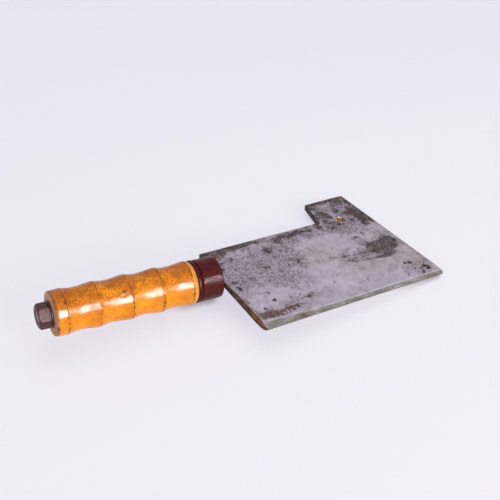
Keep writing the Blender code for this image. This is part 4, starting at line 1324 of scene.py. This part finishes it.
def build_nut(material):
    corner = FLATS / 2 / math.cos(math.pi / 6)
    # hexagon with slightly broken corners
    outline = []
    for k in range(6):
        for d in (-1.0, -0.5, 0.0, 0.5, 1.0):
            angle = math.radians(NUT_TURN + 60 * k) + math.radians(1.9 * d)
            r = corner - 0.17 - 0.055 * d ** 2
            outline.append((r * math.cos(angle), r * math.sin(angle)))
    bm = bmesh.new()
    rear = [bm.verts.new((NUT_REAR, y, z)) for y, z in outline]
    front = [bm.verts.new((NUT_FRONT, y, z)) for y, z in outline]
    bm.faces.new(rear)
    bm.faces.new(list(reversed(front)))
    for k in range(len(outline)):
        n = (k + 1) % len(outline)
        bm.faces.new((rear[k], front[k], front[n], rear[n]))
    bmesh.ops.recalc_face_normals(bm, faces=bm.faces)
    block = solid_from_bm(bm, "nut_block")
    half = FLATS / 2
    cone = turned_solid([
        (NUT_FRONT + 0.001, 0.0), (NUT_FRONT + 0.001, half - 0.75), (NUT_FRONT + 0.10, half - 0.42),
        (NUT_FRONT + 0.30, half - 0.08), (NUT_FRONT + 1.95, corner + 0.5),
        (NUT_REAR - 0.85, corner + 0.5), (NUT_REAR - 0.18, half + 0.75),
        (NUT_REAR - 0.001, half + 0.35), (NUT_REAR - 0.001, 0.0)], 96, "nut_cone")

    def limit(x, r):
        return max(r, 5.45 - max(0.0, x - NUT_FRONT), 5.45 - max(0.0, NUT_REAR - x))

    bore = solid_from_bm(
        helix(NUT_FRONT - 0.6, NUT_REAR + 0.6, ROD_CREST + THREAD_GAP, limit), "nut_bore")
    mesh = combined(block, [("INTERSECT", cone), ("DIFFERENCE", bore)], "nut_body")
    place("nut_body", mesh, material, "hex_nut", smooth=22.0, body="nut")


def build_washer(material):
    rear, front, outer = WASHER_REAR, WASHER_FRONT, WASHER_R
    profile = [(rear, WASHER_BORE), (rear, 7.5)]
    profile += arc(rear + 0.25, outer - 0.25, 0.25, 180, 90, 4)
    profile += arc(front - 0.12, outer - 0.12, 0.12, 90, 0, 3)
    profile += [(front, 7.5), (front, WASHER_BORE)]
    verts, faces = lathe(profile, 120)
    make("washer_ring", verts, faces, material, "butt_washer", smooth=40.0,
         body="washer")


def dark_metal(name, dark, mid, light, metallic, specular, worn=(0.42, 0.36, 0.37), coat=0.3):
    m = Material(name)
    tone = m.wide(260, detail=5, rough=0.68)
    fine = m.wide(900, detail=4, rough=0.7, seed=2.0)
    colour = m.ramp(0.5 + (tone * 0.22 + fine * 0.14), [(0.2, dark), (0.5, mid), (0.85, light)])
    wear = (m.edge(radius=0.0005, samples=6).step(0.03, 0.16)
            * m.wide(420, detail=4, rough=0.66, seed=4.0).step(-0.7, 0.6, to=(0.15, 1.0)))
    colour = m.mix(colour, tint=worn, by=wear * 0.6)
    height = m.wide(480, detail=3, rough=0.6, seed=7.0) * 0.07 + fine * 0.03
    return m.surface(
        base_color=colour, roughness=tone.lin(-1, 1, to=(0.34, 0.5)),
        metallic=m.blend(metallic, 0.6, by=wear),
        normal=m.bump(height, strength=0.6, distance=0.00022),
        coat_weight=coat, coat_roughness=0.22, coat_ior=1.3, specular_ior_level=specular)


# ------------------------------------------------------------------ floor, room, lights, camera
FLOOR_HALF = 4.0
# floor colours: darker far from the viewer and to the left, a painted falloff of the light
FLOOR_NEAR, FLOOR_FAR = (0.285, 0.280, 0.240), (0.235, 0.235, 0.220)
FLOOR_LEFT = (0.26, 0.26, 0.235)
GLOW, CONTACT_SHADOW = (0.600, 0.590, 0.675), (0.150, 0.105, 0.105)    # evenly glowing open floor, and the painted contact shadow beside the object
BACKDROP = (0.80, 0.79, 0.885)
AMBIENT = 0.50
ROOM_DIM, ROOM_PALE = 0.16, 0.80        # brightness of the room in reflections


def build_floor():
    m = Material("pale_floor")
    x, y, _ = m.axes(m.add("NewGeometry", output="Position"))
    # painted light falloff: the paper darkens away from the viewer and towards the left
    depth = x * 0.45 + y * 0.89
    side = x * 0.89 - y * 0.45
    paper_with_painted_falloff = m.mix(FLOOR_NEAR, tint=FLOOR_FAR, by=depth.step(-0.25, 0.75))
    paper_with_painted_falloff = m.mix(paper_with_painted_falloff, tint=FLOOR_LEFT, by=side.step(0.10, -0.45, to=(0, 0.35)))
    # painted contact shadow: the floor's glow darkens where the object is close
    openness = m.add("AmbientOcclusion", {"Distance": 0.0065}, output="AO", samples=4)
    m.surface(base_color=paper_with_painted_falloff, roughness=0.95, metallic=0.0, specular_ior_level=0.0,
              emission_color=m.mix(CONTACT_SHADOW, tint=GLOW, by=openness.step(0.05, 0.62)),
              emission_strength=1.0)
    z = min(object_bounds()[0].z, cad_lo.z) - 0.0001
    mesh = bpy.data.meshes.new("floor")
    corners = ((-1, -1), (1, -1), (1, 1), (-1, 1))
    mesh.from_pydata([(x * FLOOR_HALF, y * FLOOR_HALF, z) for x, y in corners], [],
                     [(0, 1, 2, 3)])
    mesh.materials.append(m.mat)
    link_object("floor", mesh)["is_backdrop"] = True


def build_room():
    """Plain brightness for diffuse light, a pale backdrop for the camera, and for reflections
    a room that is pale behind and above the object and dim towards the viewer."""
    world = bpy.data.worlds.new("studio")
    world.use_nodes = True
    g = Graph(world.node_tree)
    path = g.node("LightPath")
    behind = (TOOL.to_3x3() @ Vector((0.40, 0.62, 0.68))).normalized()
    facing = g.add("VectorMath", {0: g.add("TexCoord", output="Generated"), 1: behind},
                   output="Value", operation="DOT_PRODUCT")
    diffuse = g.add("Background", {0: (0.86, 0.85, 0.97), 1: AMBIENT})
    glossy = g.add("Background", {0: (0.93, 0.90, 1.0),
                                  1: facing.step(0.05, 0.85, to=(ROOM_DIM, ROOM_PALE))})
    seen = g.add("Background", {0: BACKDROP})
    lit = g.add("MixShader", {0: Signal(g, path.outputs["Is Glossy Ray"]), 1: diffuse, 2: glossy})
    whole = g.add("MixShader", {0: Signal(g, path.outputs["Is Camera Ray"]), 1: lit, 2: seen})
    g.node("OutputWorld", {0: whole})
    bpy.context.scene.world = world


def from_side(azimuth, elevation):
    """Tool-frame direction in degrees: azimuth from the cutting-edge side towards the blade."""
    a, e = math.radians(azimuth), math.radians(elevation)
    return math.sin(a) * math.cos(e), -math.cos(a) * math.cos(e), math.sin(e)


def softbox(name, direction, distance, size, power, colour, target_x, glossy=False, diffuse=True):
    """Area light along a tool-frame direction from a point on the handle axis."""
    data = bpy.data.lights.new(name, "AREA")
    data.shape = "RECTANGLE"
    data.size, data.size_y = size
    data.energy = power
    data.color = colour
    obj = link_object(name, data)
    aim = TOOL @ (Vector((target_x, 0, 0)) * MM)
    outward = (TOOL.to_3x3() @ Vector(direction)).normalized()
    obj.location = aim + outward * distance
    obj.rotation_mode = "QUATERNION"
    obj.rotation_quaternion = (-outward).to_track_quat("-Z", "Y")
    obj.visible_glossy = glossy
    obj.visible_diffuse = diffuse


def build_lights():
    softbox("glint", from_side(6.8, 24), distance=1.3, size=(0.125, 0.78), power=56.0,
            colour=(1.0, 0.985, 0.975), target_x=60, glossy=True, diffuse=False)
    softbox("glint_bolster", from_side(24, 23), distance=1.3, size=(0.36, 0.05), power=17.0,
            colour=(1.0, 0.80, 0.86), target_x=122, glossy=True, diffuse=False)
    softbox("key", from_side(22, 26), distance=1.6, size=(0.9, 0.6), power=10.0,
            colour=(1.0, 0.985, 0.96), target_x=120)
    softbox("fill_front", from_side(-18, 14), distance=1.6, size=(2.2, 0.7), power=12.0,
            colour=(0.97, 0.975, 1.0), target_x=120)
    softbox("top", (0.15, 0.25, 0.95), distance=1.6, size=(1.8, 1.4), power=10.0,
            colour=(0.98, 0.97, 1.0), target_x=150)


def build_camera():
    """Looks down on the upper flat from the cutting-edge side, behind the butt."""
    data = bpy.data.cameras.new("camera")
    data.sensor_width = 36.0
    data.lens = 60.76
    data.clip_start, data.clip_end = 0.01, 20.0
    camera = link_object("camera", data)
    view = Vector((0.4344, 0.7222, -0.5383)).normalized()
    right = Vector((0.8802, -0.4673, 0.0834))
    right = (right - view * right.dot(view)).normalized()
    spot = Vector((-127.16, -476.94, 373.53)) * MM
    camera.matrix_world = TOOL @ axes_matrix(right, right.cross(view), -view, spot)
    bpy.context.scene.camera = camera


# ------------------------------------------------------------------ build everything
build_blade(steel_material())
build_grip(wood_material())
build_bolster(paint_material(
    "oxide_red_paint", dark=(0.048, 0.0042, 0.0042), light=(0.096, 0.0080, 0.0082), coat=0.9,
    chips=BOLSTER_CHIPS))
build_collar(paint_material(
    "collar_paint", dark=(0.040, 0.0042, 0.0040), light=(0.088, 0.0090, 0.0080), coat=0.8))
weld = weld_material()
build_weld("weld_upper", "weld_bead_upper", 1.0, weld)
build_weld("weld_lower", "weld_bead_lower", -1.0, weld)
build_rod(dark_metal(
    "rod_steel", dark=(0.050, 0.030, 0.034), mid=(0.120, 0.076, 0.088),
    light=(0.21, 0.15, 0.17), metallic=0.35, specular=0.2))
build_washer(dark_metal(
    "washer_steel", dark=(0.028, 0.014, 0.012), mid=(0.070, 0.036, 0.030),
    light=(0.15, 0.090, 0.070), metallic=0.3, specular=0.15))
build_nut(dark_metal(
    "nut_paint", dark=(0.045, 0.017, 0.018), mid=(0.088, 0.036, 0.037),
    light=(0.140, 0.070, 0.070), metallic=0.05, specular=0.05, worn=(0.30, 0.20, 0.20),
    coat=0.14))
build_floor()
build_room()
build_lights()
build_camera()
bpy.context.scene.view_settings.view_transform = "Standard"
bpy.context.scene.view_settings.look = "None"
